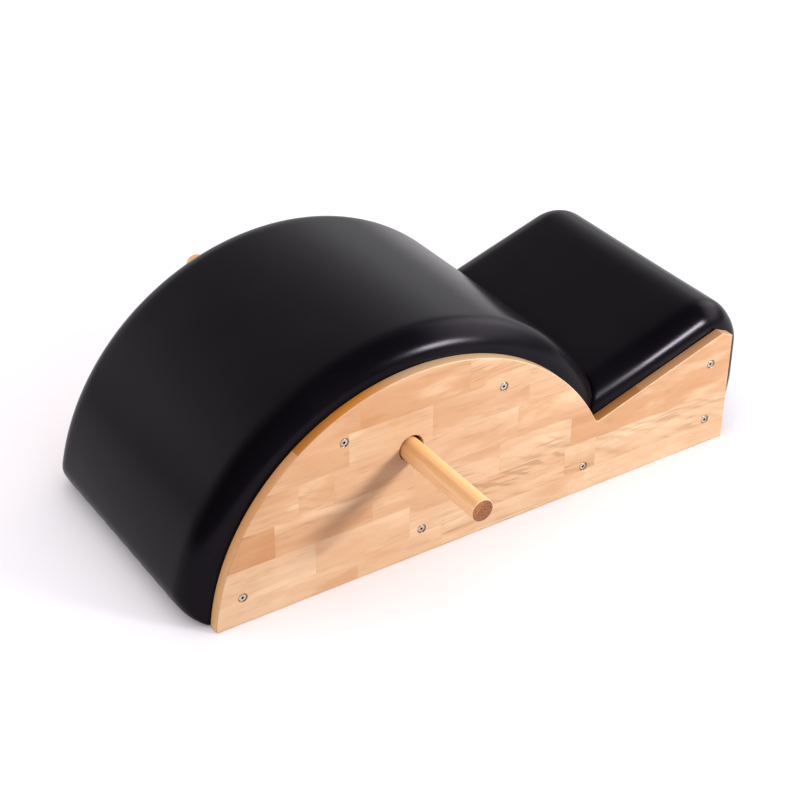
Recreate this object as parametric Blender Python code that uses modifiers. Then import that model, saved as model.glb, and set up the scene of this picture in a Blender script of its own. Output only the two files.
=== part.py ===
"""Spine corrector: a padded barrel and step between two wooden side panels.

A round wooden handle passes through both panels and pulls out at either side.
The origin is on the floor, midway along and across the object. X runs from the
barrel end to the step end, Y from the near panel to the far one, Z up. Metres.
"""

import math

import bmesh
import bpy
from mathutils import Matrix, Vector

# Fits
GAP = 0.0003
HANDLE_REST_GAP = 0.0003

# Side panels
PANEL_THICKNESS = 0.018
WIDTH_OVER_PANELS = 0.475
BARREL_RADIUS = 0.344
BARREL_CENTRE_DROP = 0.030
VALLEY_ANGLE = 25.52
STEP_REACH = 0.572
STEP_SLOPE = math.radians(18.1)
END_CHAMFER_RUN = 0.0215
END_CHAMFER_DROP = 0.0165
PANEL_EDGE_ROUND = 0.002
TOE_ROUND = 0.005
VALLEY_ROUND = 0.006

# Handle
HANDLE_DIAMETER = 0.034
HANDLE_LENGTH = 0.820
HANDLE_END_ROUND = 0.002
HANDLE_HOLE_DIAMETER = 0.040
HANDLE_HOLE_EASE = 0.0012
HANDLE_HOLE_X = -0.024
HANDLE_HOLE_DROP = 0.1207
RIB_HOLE_DIAMETER = 0.046

# Padding, measured from the panels' edges to the middle of the leather
BARREL_PAD_HEIGHT = 0.041
STEP_PAD_HEIGHT = 0.0393
END_PAD_REACH = 0.0435
PAD_SIDE_ROUND = 0.0445
STEP_CORNER_ROUND = 0.0742
FOOT_ROUND = 0.041
CREASE_ROUND = 0.011
SEAM_SIDE_ROUND = 0.003
SMALLEST_ROUND = 0.006
LEATHER = 0.0015
LEATHER_OVERLAP = 0.019
FLOOR_CLEARANCE = 0.002

# Frame
DECK_DEPTH = 0.006
BARREL_DECK_THICKNESS = 0.009
STEP_DECK_THICKNESS = 0.012
END_BOARD_DEPTH = 0.008
END_BOARD_THICKNESS = 0.012
RIB_THICKNESS = 0.012
FOAM_EDGE = 0.008
FOAM_EASE = 0.0008
BOARD_SIDE_CLEARANCE = 0.004
RAIL_WIDTH = 0.028
RAIL_HEIGHT = 0.030
LOWER_RAIL_HEIGHT = 0.045
BARREL_FOOT_RAIL_INSET = 0.045
BARREL_MIDDLE_RAIL_X = -0.0045
VALLEY_RAIL_SETBACK = 0.0204
STEP_RAIL_INSET = 0.040
UPPER_RAIL_INSET = 0.0419
UPPER_RAIL_TILT = 26.2
STEP_HEAD_RAIL_DROP = 0.0429
TACK_STRIP_WIDTH = 0.025
TACK_STRIP_HEIGHT = 0.018
BATTEN_LEG = 0.020
BATTEN_DEPTH = 0.030

# Bolts with their cup washers
BOLT_DIAMETER = 0.006
BOLT_LENGTH = 0.045
BOLT_HEAD_DIAMETER = 0.0115
BOLT_HEAD_RIM = 0.001
BOLT_HEAD_DEPTH = 0.0008
BOLT_SOCKET_WIDTH = 0.004
BOLT_SOCKET_DEPTH = 0.0025
CUP_DIAMETER = 0.0145
CUP_WALL = 0.00105
CUP_DEPTH = 0.0003
BOLT_HOLE_EASE = 0.0004
BORE_RUN_OUT = 0.002

# Smoothness of round stretches
PANEL_STEPS = 44
BARREL_STEPS = 32
BARREL_STEP_ANGLE = 4.0
CORNER_STEPS = 5
SMALL_STEPS = 2
SIDE_STEPS = 4
HOLE_STEPS = 28
BOLT_STEPS = 10

# Places that follow from the sizes above
PAD_RADIUS = BARREL_RADIUS + BARREL_PAD_HEIGHT
FOOT_CENTRE_HEIGHT = FLOOR_CLEARANCE + FOOT_ROUND
BARREL_REACH = FOOT_ROUND + math.sqrt(
    (PAD_RADIUS - FOOT_ROUND) ** 2 - (FOOT_CENTRE_HEIGHT + BARREL_CENTRE_DROP) ** 2)
BARREL_X = (BARREL_REACH - STEP_REACH - END_PAD_REACH) / 2
BARREL_CENTRE = Vector((BARREL_X, -BARREL_CENTRE_DROP))
PANEL_END_X = BARREL_X + STEP_REACH
BARREL_NORMAL = Vector((math.cos(math.radians(VALLEY_ANGLE)), math.sin(math.radians(VALLEY_ANGLE))))
VALLEY = BARREL_CENTRE + BARREL_NORMAL * BARREL_RADIUS
SLOPE_RUN = Vector((math.cos(STEP_SLOPE), math.sin(STEP_SLOPE)))
SLOPE_UP = Vector((-math.sin(STEP_SLOPE), math.cos(STEP_SLOPE)))
SEAM_UP = (BARREL_NORMAL + SLOPE_UP).normalized()
SEAM_LEFT = Vector((-SEAM_UP.y, SEAM_UP.x))
LEFTWARD = Vector((-1.0, 0.0))
UPWARD = Vector((0.0, 1.0))
HALF_WIDTH = WIDTH_OVER_PANELS / 2
INNER_HALF = HALF_WIDTH - PANEL_THICKNESS
LEATHER_SIDE = INNER_HALF - GAP
SKIN_AND_GAP = LEATHER + GAP
FRAME_HALF = LEATHER_SIDE - SKIN_AND_GAP
FRAME_BOTTOM = FLOOR_CLEARANCE + SKIN_AND_GAP
DECK_RADIUS = BARREL_RADIUS - DECK_DEPTH
DECK_INNER_RADIUS = DECK_RADIUS - BARREL_DECK_THICKNESS
STEP_DECK_UNDERSIDE = DECK_DEPTH + STEP_DECK_THICKNESS
NOSING_HALF = FRAME_HALF - DECK_DEPTH / 2
END_BOARD_X = PANEL_END_X - END_BOARD_DEPTH
END_BOARD_INNER_X = END_BOARD_X - END_BOARD_THICKNESS
COVER_INNER_RADIUS = DECK_INNER_RADIUS - LEATHER_OVERLAP
CROWN_END_X = PANEL_END_X + END_PAD_REACH
HANDLE_X = BARREL_X + HANDLE_HOLE_X
HANDLE_HOLE_HEIGHT = BARREL_RADIUS - BARREL_CENTRE_DROP - HANDLE_HOLE_DROP
HANDLE_HEIGHT = (HANDLE_HOLE_HEIGHT - HANDLE_HOLE_DIAMETER / 2
                 + HANDLE_DIAMETER / 2 + HANDLE_REST_GAP)


# Outline geometry in the XZ plane

def barrel_point(radius, degrees):
    """Return the point at an angle on a circle about the barrel's centre."""
    angle = math.radians(degrees)
    return BARREL_CENTRE + radius * Vector((math.cos(angle), math.sin(angle)))


def on_barrel_at_height(radius, height, side):
    """Return where a circle about the barrel's centre reaches a height."""
    rise = height - BARREL_CENTRE.y
    return Vector((BARREL_X + side * math.sqrt(radius ** 2 - rise ** 2), height))


def slope_point(depth, x):
    """Return the point at x on the line that runs depth below the panels' slope."""
    start = VALLEY - depth * SLOPE_UP
    return start + SLOPE_RUN * ((x - start.x) / SLOPE_RUN.x)


def meet(point, run, other_point, other_run):
    """Return where two lines cross."""
    across = Vector((-other_run.y, other_run.x))
    return point + run * ((other_point - point).dot(across) / run.dot(across))


def barrel_meets_line(radius, point, run):
    """Return where a line from point along run first leaves the barrel's circle."""
    offset = point - BARREL_CENTRE
    half = offset.dot(run)
    distance = -half + math.sqrt(half ** 2 - offset.length_squared + radius ** 2)
    return point + run * distance


def barrel_arc(start, end):
    """Return points on a circle about the barrel's centre, at whole steps from start to end."""
    radius = (start - BARREL_CENTRE).length
    first, last = (math.degrees(math.atan2(p.y - BARREL_CENTRE.y, p.x - BARREL_X))
                   for p in (start, end))
    low, high = sorted((first, last))
    between = range(math.ceil(low / BARREL_STEP_ANGLE + 0.2),
                    math.floor(high / BARREL_STEP_ANGLE - 0.2) + 1)
    points = [barrel_point(radius, i * BARREL_STEP_ANGLE) for i in between]
    if first > last:
        points.reverse()
    return [start, *points, end]


def arc_between(centre, start, end, steps):
    """Return points on the shorter arc about centre from start to end."""
    radius = (start - centre).length
    first = math.atan2(start.y - centre.y, start.x - centre.x)
    last = math.atan2(end.y - centre.y, end.x - centre.x)
    turn = (last - first + math.pi) % (2 * math.pi) - math.pi
    angles = [first + turn * i / steps for i in range(steps + 1)]
    return [centre + radius * Vector((math.cos(a), math.sin(a))) for a in angles]


def fillet(before, corner, after, radius, steps):
    """Return points that round the corner between two straight stretches."""
    back = (before - corner).normalized()
    onward = (after - corner).normalized()
    half = math.acos(max(-1.0, min(1.0, back.dot(onward)))) / 2
    reach = radius / math.tan(half)
    centre = corner + (back + onward).normalized() * (radius / math.sin(half))
    return arc_between(centre, corner + back * reach, corner + onward * reach, steps)


def barrel_fillet(radius, point, run, inward, rounding, steps):
    """Return the arc that joins a line to the barrel's circle, line end first.

    The line runs from point along run to the circle, with the body on its inward side.
    """
    base = point + inward * rounding
    offset = base - BARREL_CENTRE
    half = offset.dot(run)
    reach = radius - rounding
    centre = base + run * (-half + math.sqrt(half ** 2 - offset.length_squared + reach ** 2))
    touch = BARREL_CENTRE + (centre - BARREL_CENTRE) * (radius / reach)
    return arc_between(centre, centre - inward * rounding, touch, steps)


STEP_HEAD_RAIL_HEIGHT = slope_point(0.0, PANEL_END_X - STEP_RAIL_INSET).y - STEP_HEAD_RAIL_DROP


def seam_start(offset):
    """Return a point on the line that runs beside the seam, leftward of it by offset."""
    return VALLEY + SEAM_LEFT * offset - SEAM_UP * PAD_SIDE_ROUND


def rounding_at(full, side_depth, skin):
    """Return a rounding that tightens towards the sides and inside the leather."""
    return max(full - side_depth, SMALLEST_ROUND) - skin


def crease_rounding(side_depth, skin):
    """Return the rounding beside the seam, which tightens towards the sides."""
    share = side_depth / (PAD_SIDE_ROUND - skin)
    return CREASE_ROUND + (SEAM_SIDE_ROUND - CREASE_ROUND) * share - skin


def barrel_outline(side_depth, skin, inner_radius):
    """Return the barrel pad's closed section, side_depth below its crown.

    skin is how far the section lies inside the leather's outer face.
    """
    radius = PAD_RADIUS - side_depth - skin
    floor = Vector((BARREL_X, FLOOR_CLEARANCE + skin))
    foot = barrel_fillet(radius, floor, LEFTWARD, UPWARD,
                         rounding_at(FOOT_ROUND, side_depth, skin), CORNER_STEPS)
    wall = seam_start(GAP / 2 + skin)
    crease = barrel_fillet(radius, wall, SEAM_UP, SEAM_LEFT,
                           crease_rounding(side_depth, skin), SMALL_STEPS)
    crease.reverse()
    arc = arc_between(BARREL_CENTRE, foot[-1], crease[0], BARREL_STEPS)
    start = on_barrel_at_height(inner_radius, floor.y, -1)
    end = barrel_meets_line(inner_radius, wall, SEAM_UP)
    inner = arc_between(BARREL_CENTRE, end, start, BARREL_STEPS)
    return foot + arc[1:-1] + crease + inner


def step_outline(side_depth, skin, inner):
    """Return the step pad's closed section, side_depth below its crown.

    inner lists the corners of its inner side, from the end up and on to the slope.
    """
    depth = side_depth + skin - STEP_PAD_HEIGHT
    end_x = CROWN_END_X - side_depth - skin
    floor = FLOOR_CLEARANCE + skin
    wall = seam_start(-GAP / 2 - skin)
    valley = meet(wall, SEAM_UP, slope_point(depth, 0.0), SLOPE_RUN)
    corner = slope_point(depth, end_x)
    foot = Vector((end_x, floor))
    crease = fillet(wall - SEAM_UP, valley, corner,
                    crease_rounding(side_depth, skin), SMALL_STEPS)
    shoulder = fillet(valley, corner, foot,
                      rounding_at(STEP_CORNER_ROUND, side_depth, skin), CORNER_STEPS)
    toe = fillet(corner, foot, Vector((BARREL_X, floor)),
                 rounding_at(FOOT_ROUND, side_depth, skin), CORNER_STEPS)
    inner_valley = meet(wall, SEAM_UP, inner[-1], SLOPE_RUN)
    return crease + shoulder + toe + [Vector((inner[0].x, floor)), *inner, inner_valley]


def side_station(depth, skin):
    """Return (y, depth below the crown) where the lowest flat of a pad's side passes a depth."""
    turn = PAD_SIDE_ROUND - skin
    angle = math.pi / 2 / SIDE_STEPS
    share = (turn - depth) / (turn * math.sin(angle))
    y = LEATHER_SIDE - PAD_SIDE_ROUND + turn * (1 - share * (1 - math.cos(angle)))
    return y, depth


def pad_stations(skin, first_depth=None):
    """Return (y, depth below the crown) pairs across a pad, from near to far."""
    turn = PAD_SIDE_ROUND - skin
    half = []
    for i in range(SIDE_STEPS + 1):
        angle = math.pi / 2 * i / SIDE_STEPS
        y = LEATHER_SIDE - PAD_SIDE_ROUND + turn * math.cos(angle)
        half.append((y, turn * (1 - math.sin(angle))))
    if first_depth:
        half[0] = side_station(first_depth, skin)
    near = [(-y, depth) for y, depth in half]
    return near + list(reversed(half))


def board_half_width(depth):
    """Return how far a board that lies depth below the crown reaches inside the leather."""
    return side_station(depth - LEATHER, LEATHER)[0] - BOARD_SIDE_CLEARANCE


# Building blocks

def clear_scene():
    """Remove every object that the file starts with."""
    for obj in list(bpy.data.objects):
        bpy.data.objects.remove(obj, do_unlink=True)


def new_collection(name):
    """Return a new collection linked to the scene."""
    group = bpy.data.collections.new(name)
    bpy.context.scene.collection.children.link(group)
    return group


def new_material(name, colour, roughness, metallic=0.0):
    """Return a Principled material."""
    material = bpy.data.materials.new(name)
    material.use_nodes = True
    shader = material.node_tree.nodes["Principled BSDF"]
    shader.inputs["Base Color"].default_value = (*colour, 1.0)
    shader.inputs["Roughness"].default_value = roughness
    shader.inputs["Metallic"].default_value = metallic
    material.diffuse_color = (*colour, 1.0)
    return material


def new_object(name, mesh, material, group):
    """Add an object for a mesh, smooth where it is round."""
    obj = bpy.data.objects.new(name, mesh)
    group.objects.link(obj)
    if material:
        mesh.materials.clear()
        mesh.materials.append(material)
    mesh.shade_smooth()
    mesh.set_sharp_from_angle(angle=math.radians(35))
    return obj


def as_mesh(obj, merge=1e-5):
    """Return the evaluated mesh of an object with its caps welded, and remove the object."""
    bpy.context.view_layer.update()
    evaluated = obj.evaluated_get(bpy.context.evaluated_depsgraph_get())
    mesh = bpy.data.meshes.new_from_object(evaluated)
    matrix = obj.matrix_world.copy()
    bpy.data.objects.remove(obj, do_unlink=True)
    work = bmesh.new()
    work.from_mesh(mesh)
    bmesh.ops.remove_doubles(work, verts=work.verts, dist=merge)
    bmesh.ops.recalc_face_normals(work, faces=work.faces)
    work.to_mesh(mesh)
    work.free()
    return mesh, matrix


def extruded(name, outline, near_y, far_y, material, group, edge_round=0.0):
    """Add a flat outline in XZ, given a thickness along Y."""
    curve = bpy.data.curves.new(name, "CURVE")
    curve.dimensions = "2D"
    curve.fill_mode = "BOTH"
    curve.extrude = (far_y - near_y) / 2 - edge_round
    if edge_round:
        curve.bevel_depth = edge_round
        curve.bevel_resolution = 1
        curve.offset = -edge_round
    spline = curve.splines.new("POLY")
    spline.points.add(len(outline) - 1)
    for point, corner in zip(spline.points, outline):
        point.co = (corner.x, corner.y, 0.0, 1.0)
    spline.use_cyclic_u = True
    flat = bpy.data.objects.new(name, curve)
    group.objects.link(flat)
    flat.location = (0.0, (near_y + far_y) / 2, 0.0)
    flat.rotation_euler = (math.pi / 2, 0.0, 0.0)
    mesh, matrix = as_mesh(flat)
    obj = new_object(name, mesh, material, group)
    obj.matrix_world = matrix
    return obj


def box(name, low, high, material, group):
    """Add a box between two corners."""
    bpy.ops.mesh.primitive_cube_add(size=1.0)
    obj = bpy.context.active_object
    obj.name = name
    for other in list(obj.users_collection):
        other.objects.unlink(obj)
    group.objects.link(obj)
    size = Vector(high) - Vector(low)
    obj.data.transform(Matrix.Diagonal((*size, 1.0)))
    obj.location = (Vector(high) + Vector(low)) / 2
    if material:
        obj.data.materials.append(material)
    return obj


def lofted(name, sections, material, group):
    """Add a closed body through sections, each a y and an outline in XZ."""
    work = bmesh.new()
    rings = [[work.verts.new((p.x, y, p.y)) for p in outline] for y, outline in sections]
    for one, other in zip(rings, rings[1:]):
        for i in range(len(one)):
            j = (i + 1) % len(one)
            work.faces.new((one[i], one[j], other[j], other[i]))
    work.faces.new(list(reversed(rings[0])))
    work.faces.new(rings[-1])
    bmesh.ops.recalc_face_normals(work, faces=work.faces)
    mesh = bpy.data.meshes.new(name)
    work.to_mesh(mesh)
    work.free()
    return new_object(name, mesh, material, group)


def turned(name, profile, steps, group, closed=False):
    """Return the mesh of a profile of (radius, height) points turned about Z."""
    mesh = bpy.data.meshes.new(name)
    edges = [(i, i + 1) for i in range(len(profile) - 1)]
    if closed:
        edges.append((len(profile) - 1, 0))
    mesh.from_pydata([(radius, 0.0, height) for radius, height in profile], edges, [])
    obj = bpy.data.objects.new(name, mesh)
    group.objects.link(obj)
    screw = obj.modifiers.new("turn", "SCREW")
    screw.steps = steps
    screw.render_steps = steps
    screw.use_merge_vertices = True
    screw.merge_threshold = 1e-6
    return as_mesh(obj, 1e-6)[0]


def placed(name, mesh, matrix, material, group):
    """Add a copy of a repeated piece that shares its mesh."""
    obj = new_object(name, mesh, material, group)
    obj.matrix_world = matrix
    return obj


def as_cutter(obj):
    """Show an object as a cutting guide that is no part of the model."""
    obj.hide_render = True
    obj.display_type = "WIRE"
    return obj


def cut(obj, *cutters):
    """Take the cutters out of an object."""
    for cutter in cutters:
        boolean = obj.modifiers.new("cut " + cutter.name, "BOOLEAN")
        boolean.operation = "DIFFERENCE"
        boolean.solver = "EXACT"
        boolean.object = cutter


# Side panels

def panel_outline():
    """Return the outline of a side panel."""
    toe = barrel_fillet(BARREL_RADIUS, Vector((BARREL_X, 0.0)), LEFTWARD, UPWARD,
                        TOE_ROUND, SMALL_STEPS)
    chamfer_x = PANEL_END_X - END_CHAMFER_RUN
    chamfer_foot = slope_point(0.0, PANEL_END_X) - UPWARD * END_CHAMFER_DROP
    up_the_barrel = Vector((-BARREL_NORMAL.y, BARREL_NORMAL.x))
    valley = fillet(VALLEY + up_the_barrel, VALLEY, VALLEY + SLOPE_RUN, VALLEY_ROUND, SMALL_STEPS)
    arc = arc_between(BARREL_CENTRE, toe[-1], VALLEY, PANEL_STEPS)
    kept = [p for p in arc if (p - VALLEY).length > VALLEY_ROUND * 1.5]
    end = [slope_point(0.0, chamfer_x), chamfer_foot, Vector((PANEL_END_X, 0.0))]
    return toe + kept[1:] + valley + end


def handle_hole_cutter(name, diameter, near_y, far_y, ease, group):
    """Add a cutter for a hole that the handle passes through, eased at both mouths."""
    radius = diameter / 2
    half = (far_y - near_y) / 2
    past = 2 * ease + 0.001
    profile = [(0.0, half + past), (radius + ease + past, half + past), (radius, half - ease),
               (radius, ease - half), (radius + ease + past, -half - past), (0.0, -half - past)]
    mesh = turned(name, profile, HOLE_STEPS, group)
    cutter = as_cutter(new_object(name, mesh, None, group))
    cutter.location = (HANDLE_X, (near_y + far_y) / 2, HANDLE_HOLE_HEIGHT)
    cutter.rotation_euler = (math.pi / 2, 0.0, 0.0)
    return cutter


def rail_places():
    """Return the place name, x, half width and height of each cross rail."""
    half = RAIL_WIDTH / 2
    end_x = PANEL_END_X - STEP_RAIL_INSET
    end_half = END_BOARD_INNER_X - GAP - end_x
    upper_left, upper_right = (barrel_point(BARREL_RADIUS - UPPER_RAIL_INSET, 90 + side)
                               for side in (UPPER_RAIL_TILT, -UPPER_RAIL_TILT))
    return [
        ("barrel_foot", BARREL_X - BARREL_RADIUS + BARREL_FOOT_RAIL_INSET, half, LOWER_RAIL_HEIGHT),
        ("barrel_middle", BARREL_X + BARREL_MIDDLE_RAIL_X, half, LOWER_RAIL_HEIGHT),
        ("valley", VALLEY.x - VALLEY_RAIL_SETBACK, half, LOWER_RAIL_HEIGHT),
        ("step_foot", end_x, end_half, LOWER_RAIL_HEIGHT),
        ("upper_foot_side", upper_left.x, half, upper_left.y),
        ("upper_step_side", upper_right.x, half, upper_right.y),
        ("step_head", end_x, end_half, STEP_HEAD_RAIL_HEIGHT),
    ]


# Fasteners

def bolt_profile():
    """Return the bolt's profile, its top at the panel's outer face, z down the bolt."""
    head = BOLT_HEAD_DIAMETER / 2
    shank = BOLT_DIAMETER / 2
    rim = BOLT_HEAD_DEPTH + BOLT_HEAD_RIM
    return [(0.0, -BOLT_HEAD_DEPTH), (head, -BOLT_HEAD_DEPTH), (head, -rim),
            (shank, -rim - head + shank), (shank, -BOLT_LENGTH), (0.0, -BOLT_LENGTH)]


def cup_profile():
    """Return the cup washer's closed profile, its cone parallel to the bolt's."""
    outer = CUP_DIAMETER / 2
    bore = BOLT_DIAMETER / 2 + GAP
    mouth = outer - CUP_WALL
    turn_in = BOLT_HEAD_DEPTH + BOLT_HEAD_RIM + 2 * GAP - (mouth - BOLT_HEAD_DIAMETER / 2)
    throat = turn_in + mouth - bore
    base = throat + CUP_WALL * 0.8
    return [(mouth, -CUP_DEPTH), (outer, -CUP_DEPTH), (outer, -turn_in - CUP_WALL * 0.4),
            (bore + CUP_WALL * 0.6, -base), (bore, -base), (bore, -throat), (mouth, -turn_in)]


def bolt_bore_profile():
    """Return the room that a bolt and its cup take in panel and rail."""
    _, _, outer, foot, *_ = cup_profile()
    hole = BOLT_DIAMETER / 2 + BOLT_HOLE_EASE
    end = BOLT_LENGTH + BORE_RUN_OUT
    return [(0.0, BORE_RUN_OUT), (outer[0] + GAP, BORE_RUN_OUT), (outer[0] + GAP, outer[1] - GAP),
            (foot[0] + GAP, foot[1] - GAP), (hole, foot[1] - GAP), (hole, -end), (0.0, -end)]


def bolt_matrix(x, z, side):
    """Return the placing of a bolt on the near (-1) or far (+1) panel."""
    turn = Matrix.Rotation(-side * math.pi / 2, 4, "X")
    return Matrix.Translation((x, side * HALF_WIDTH, z)) @ turn


def socket_cutter(group):
    """Return the cutter of the hexagon socket in a bolt's head."""
    mesh = bpy.data.meshes.new("socket")
    work = bmesh.new()
    radius = BOLT_SOCKET_WIDTH / math.sqrt(3)
    bmesh.ops.create_cone(work, cap_ends=True, segments=6, radius1=radius, radius2=radius,
                          depth=2 * BOLT_SOCKET_DEPTH,
                          matrix=Matrix.Translation((0.0, 0.0, -BOLT_HEAD_DEPTH)))
    work.to_mesh(mesh)
    work.free()
    return as_cutter(new_object("bolt_socket_cutter", mesh, None, group))


def bolt_mesh(group):
    """Return the mesh of one bolt with its socket."""
    blank = new_object("bolt_blank", turned("bolt", bolt_profile(), BOLT_STEPS, group), None, group)
    cut(blank, socket_cutter(group))
    return as_mesh(blank, 1e-6)[0]


# Frame

def deck_outline():
    """Return the bent barrel deck's section."""
    ledge = seam_start(SKIN_AND_GAP + GAP / 2)
    ends = []
    for radius in (DECK_RADIUS, DECK_INNER_RADIUS):
        ends.append((on_barrel_at_height(radius, FRAME_BOTTOM, -1),
                     barrel_meets_line(radius, ledge, SEAM_UP)))
    outer = arc_between(BARREL_CENTRE, ends[0][0], ends[0][1], BARREL_STEPS)
    inner = barrel_arc(ends[1][1], ends[1][0])
    return outer + inner


def nose_centre():
    """Return the centre that the step's rounded end turns about."""
    x = CROWN_END_X - STEP_CORNER_ROUND
    return slope_point(STEP_CORNER_ROUND - STEP_PAD_HEIGHT, x)


def nosing_arc(ease):
    """Return the rounding from the slope to the end board, ease outside the nosing."""
    centre = nose_centre()
    radius = STEP_CORNER_ROUND - STEP_PAD_HEIGHT - DECK_DEPTH + ease
    end_x = END_BOARD_X + ease
    rise = math.sqrt(radius ** 2 - (end_x - centre.x) ** 2)
    return arc_between(centre, centre + SLOPE_UP * radius, Vector((end_x, centre.y + rise)),
                       CORNER_STEPS)


def nosing_outline():
    """Return the nosing's section, on top of the head rail and the end board."""
    arc = nosing_arc(0.0)
    base = STEP_HEAD_RAIL_HEIGHT + RAIL_HEIGHT / 2 + GAP
    foot = meet(arc[0], SLOPE_UP, Vector((0.0, base)), Vector((1.0, 0.0)))
    return arc + [Vector((END_BOARD_X, base)), foot]


def step_deck_outline():
    """Return the step board's section, from the seam to the nosing."""
    ledge = seam_start(-SKIN_AND_GAP - GAP / 2)
    nose = nose_centre() - SLOPE_RUN * GAP
    outline = []
    for depth, point, run in ((DECK_DEPTH, ledge, SEAM_UP), (DECK_DEPTH, nose, SLOPE_UP),
                              (STEP_DECK_UNDERSIDE, nose, SLOPE_UP),
                              (STEP_DECK_UNDERSIDE, ledge, SEAM_UP)):
        outline.append(meet(point, run, slope_point(depth, 0.0), SLOPE_RUN))
    return outline


def rib_outline(gap):
    """Return a rib's outline, a gap inside the boards, before its notches are cut."""
    radius = DECK_INNER_RADIUS - gap
    depth = STEP_DECK_UNDERSIDE + gap
    bottom = FRAME_BOTTOM - (GAP - gap) / 2
    start = on_barrel_at_height(radius, bottom, -1)
    offset = slope_point(depth, 0.0) - BARREL_CENTRE
    half = offset.dot(SLOPE_RUN)
    valley = slope_point(depth, 0.0) + SLOPE_RUN * (
        -half + math.sqrt(half ** 2 - offset.length_squared + radius ** 2))
    end_x = END_BOARD_INNER_X - gap
    return barrel_arc(start, valley) + [slope_point(depth, end_x), Vector((end_x, bottom))]


def batten_outline(ease):
    """Return the section of the batten that fits under the joint of the boards."""
    apex = rib_outline(GAP - 2 * ease)[-3]
    reach = apex - BARREL_CENTRE
    leg = BATTEN_LEG + 4 * ease
    turn = 2 * math.asin(leg / (2 * reach.length))
    left = barrel_point(reach.length, math.degrees(math.atan2(reach.y, reach.x) + turn))
    right = apex + SLOPE_RUN * leg
    down = SEAM_UP * (BATTEN_DEPTH + 8 * ease)
    return [left, apex, right, right - down, left - down]


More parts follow.
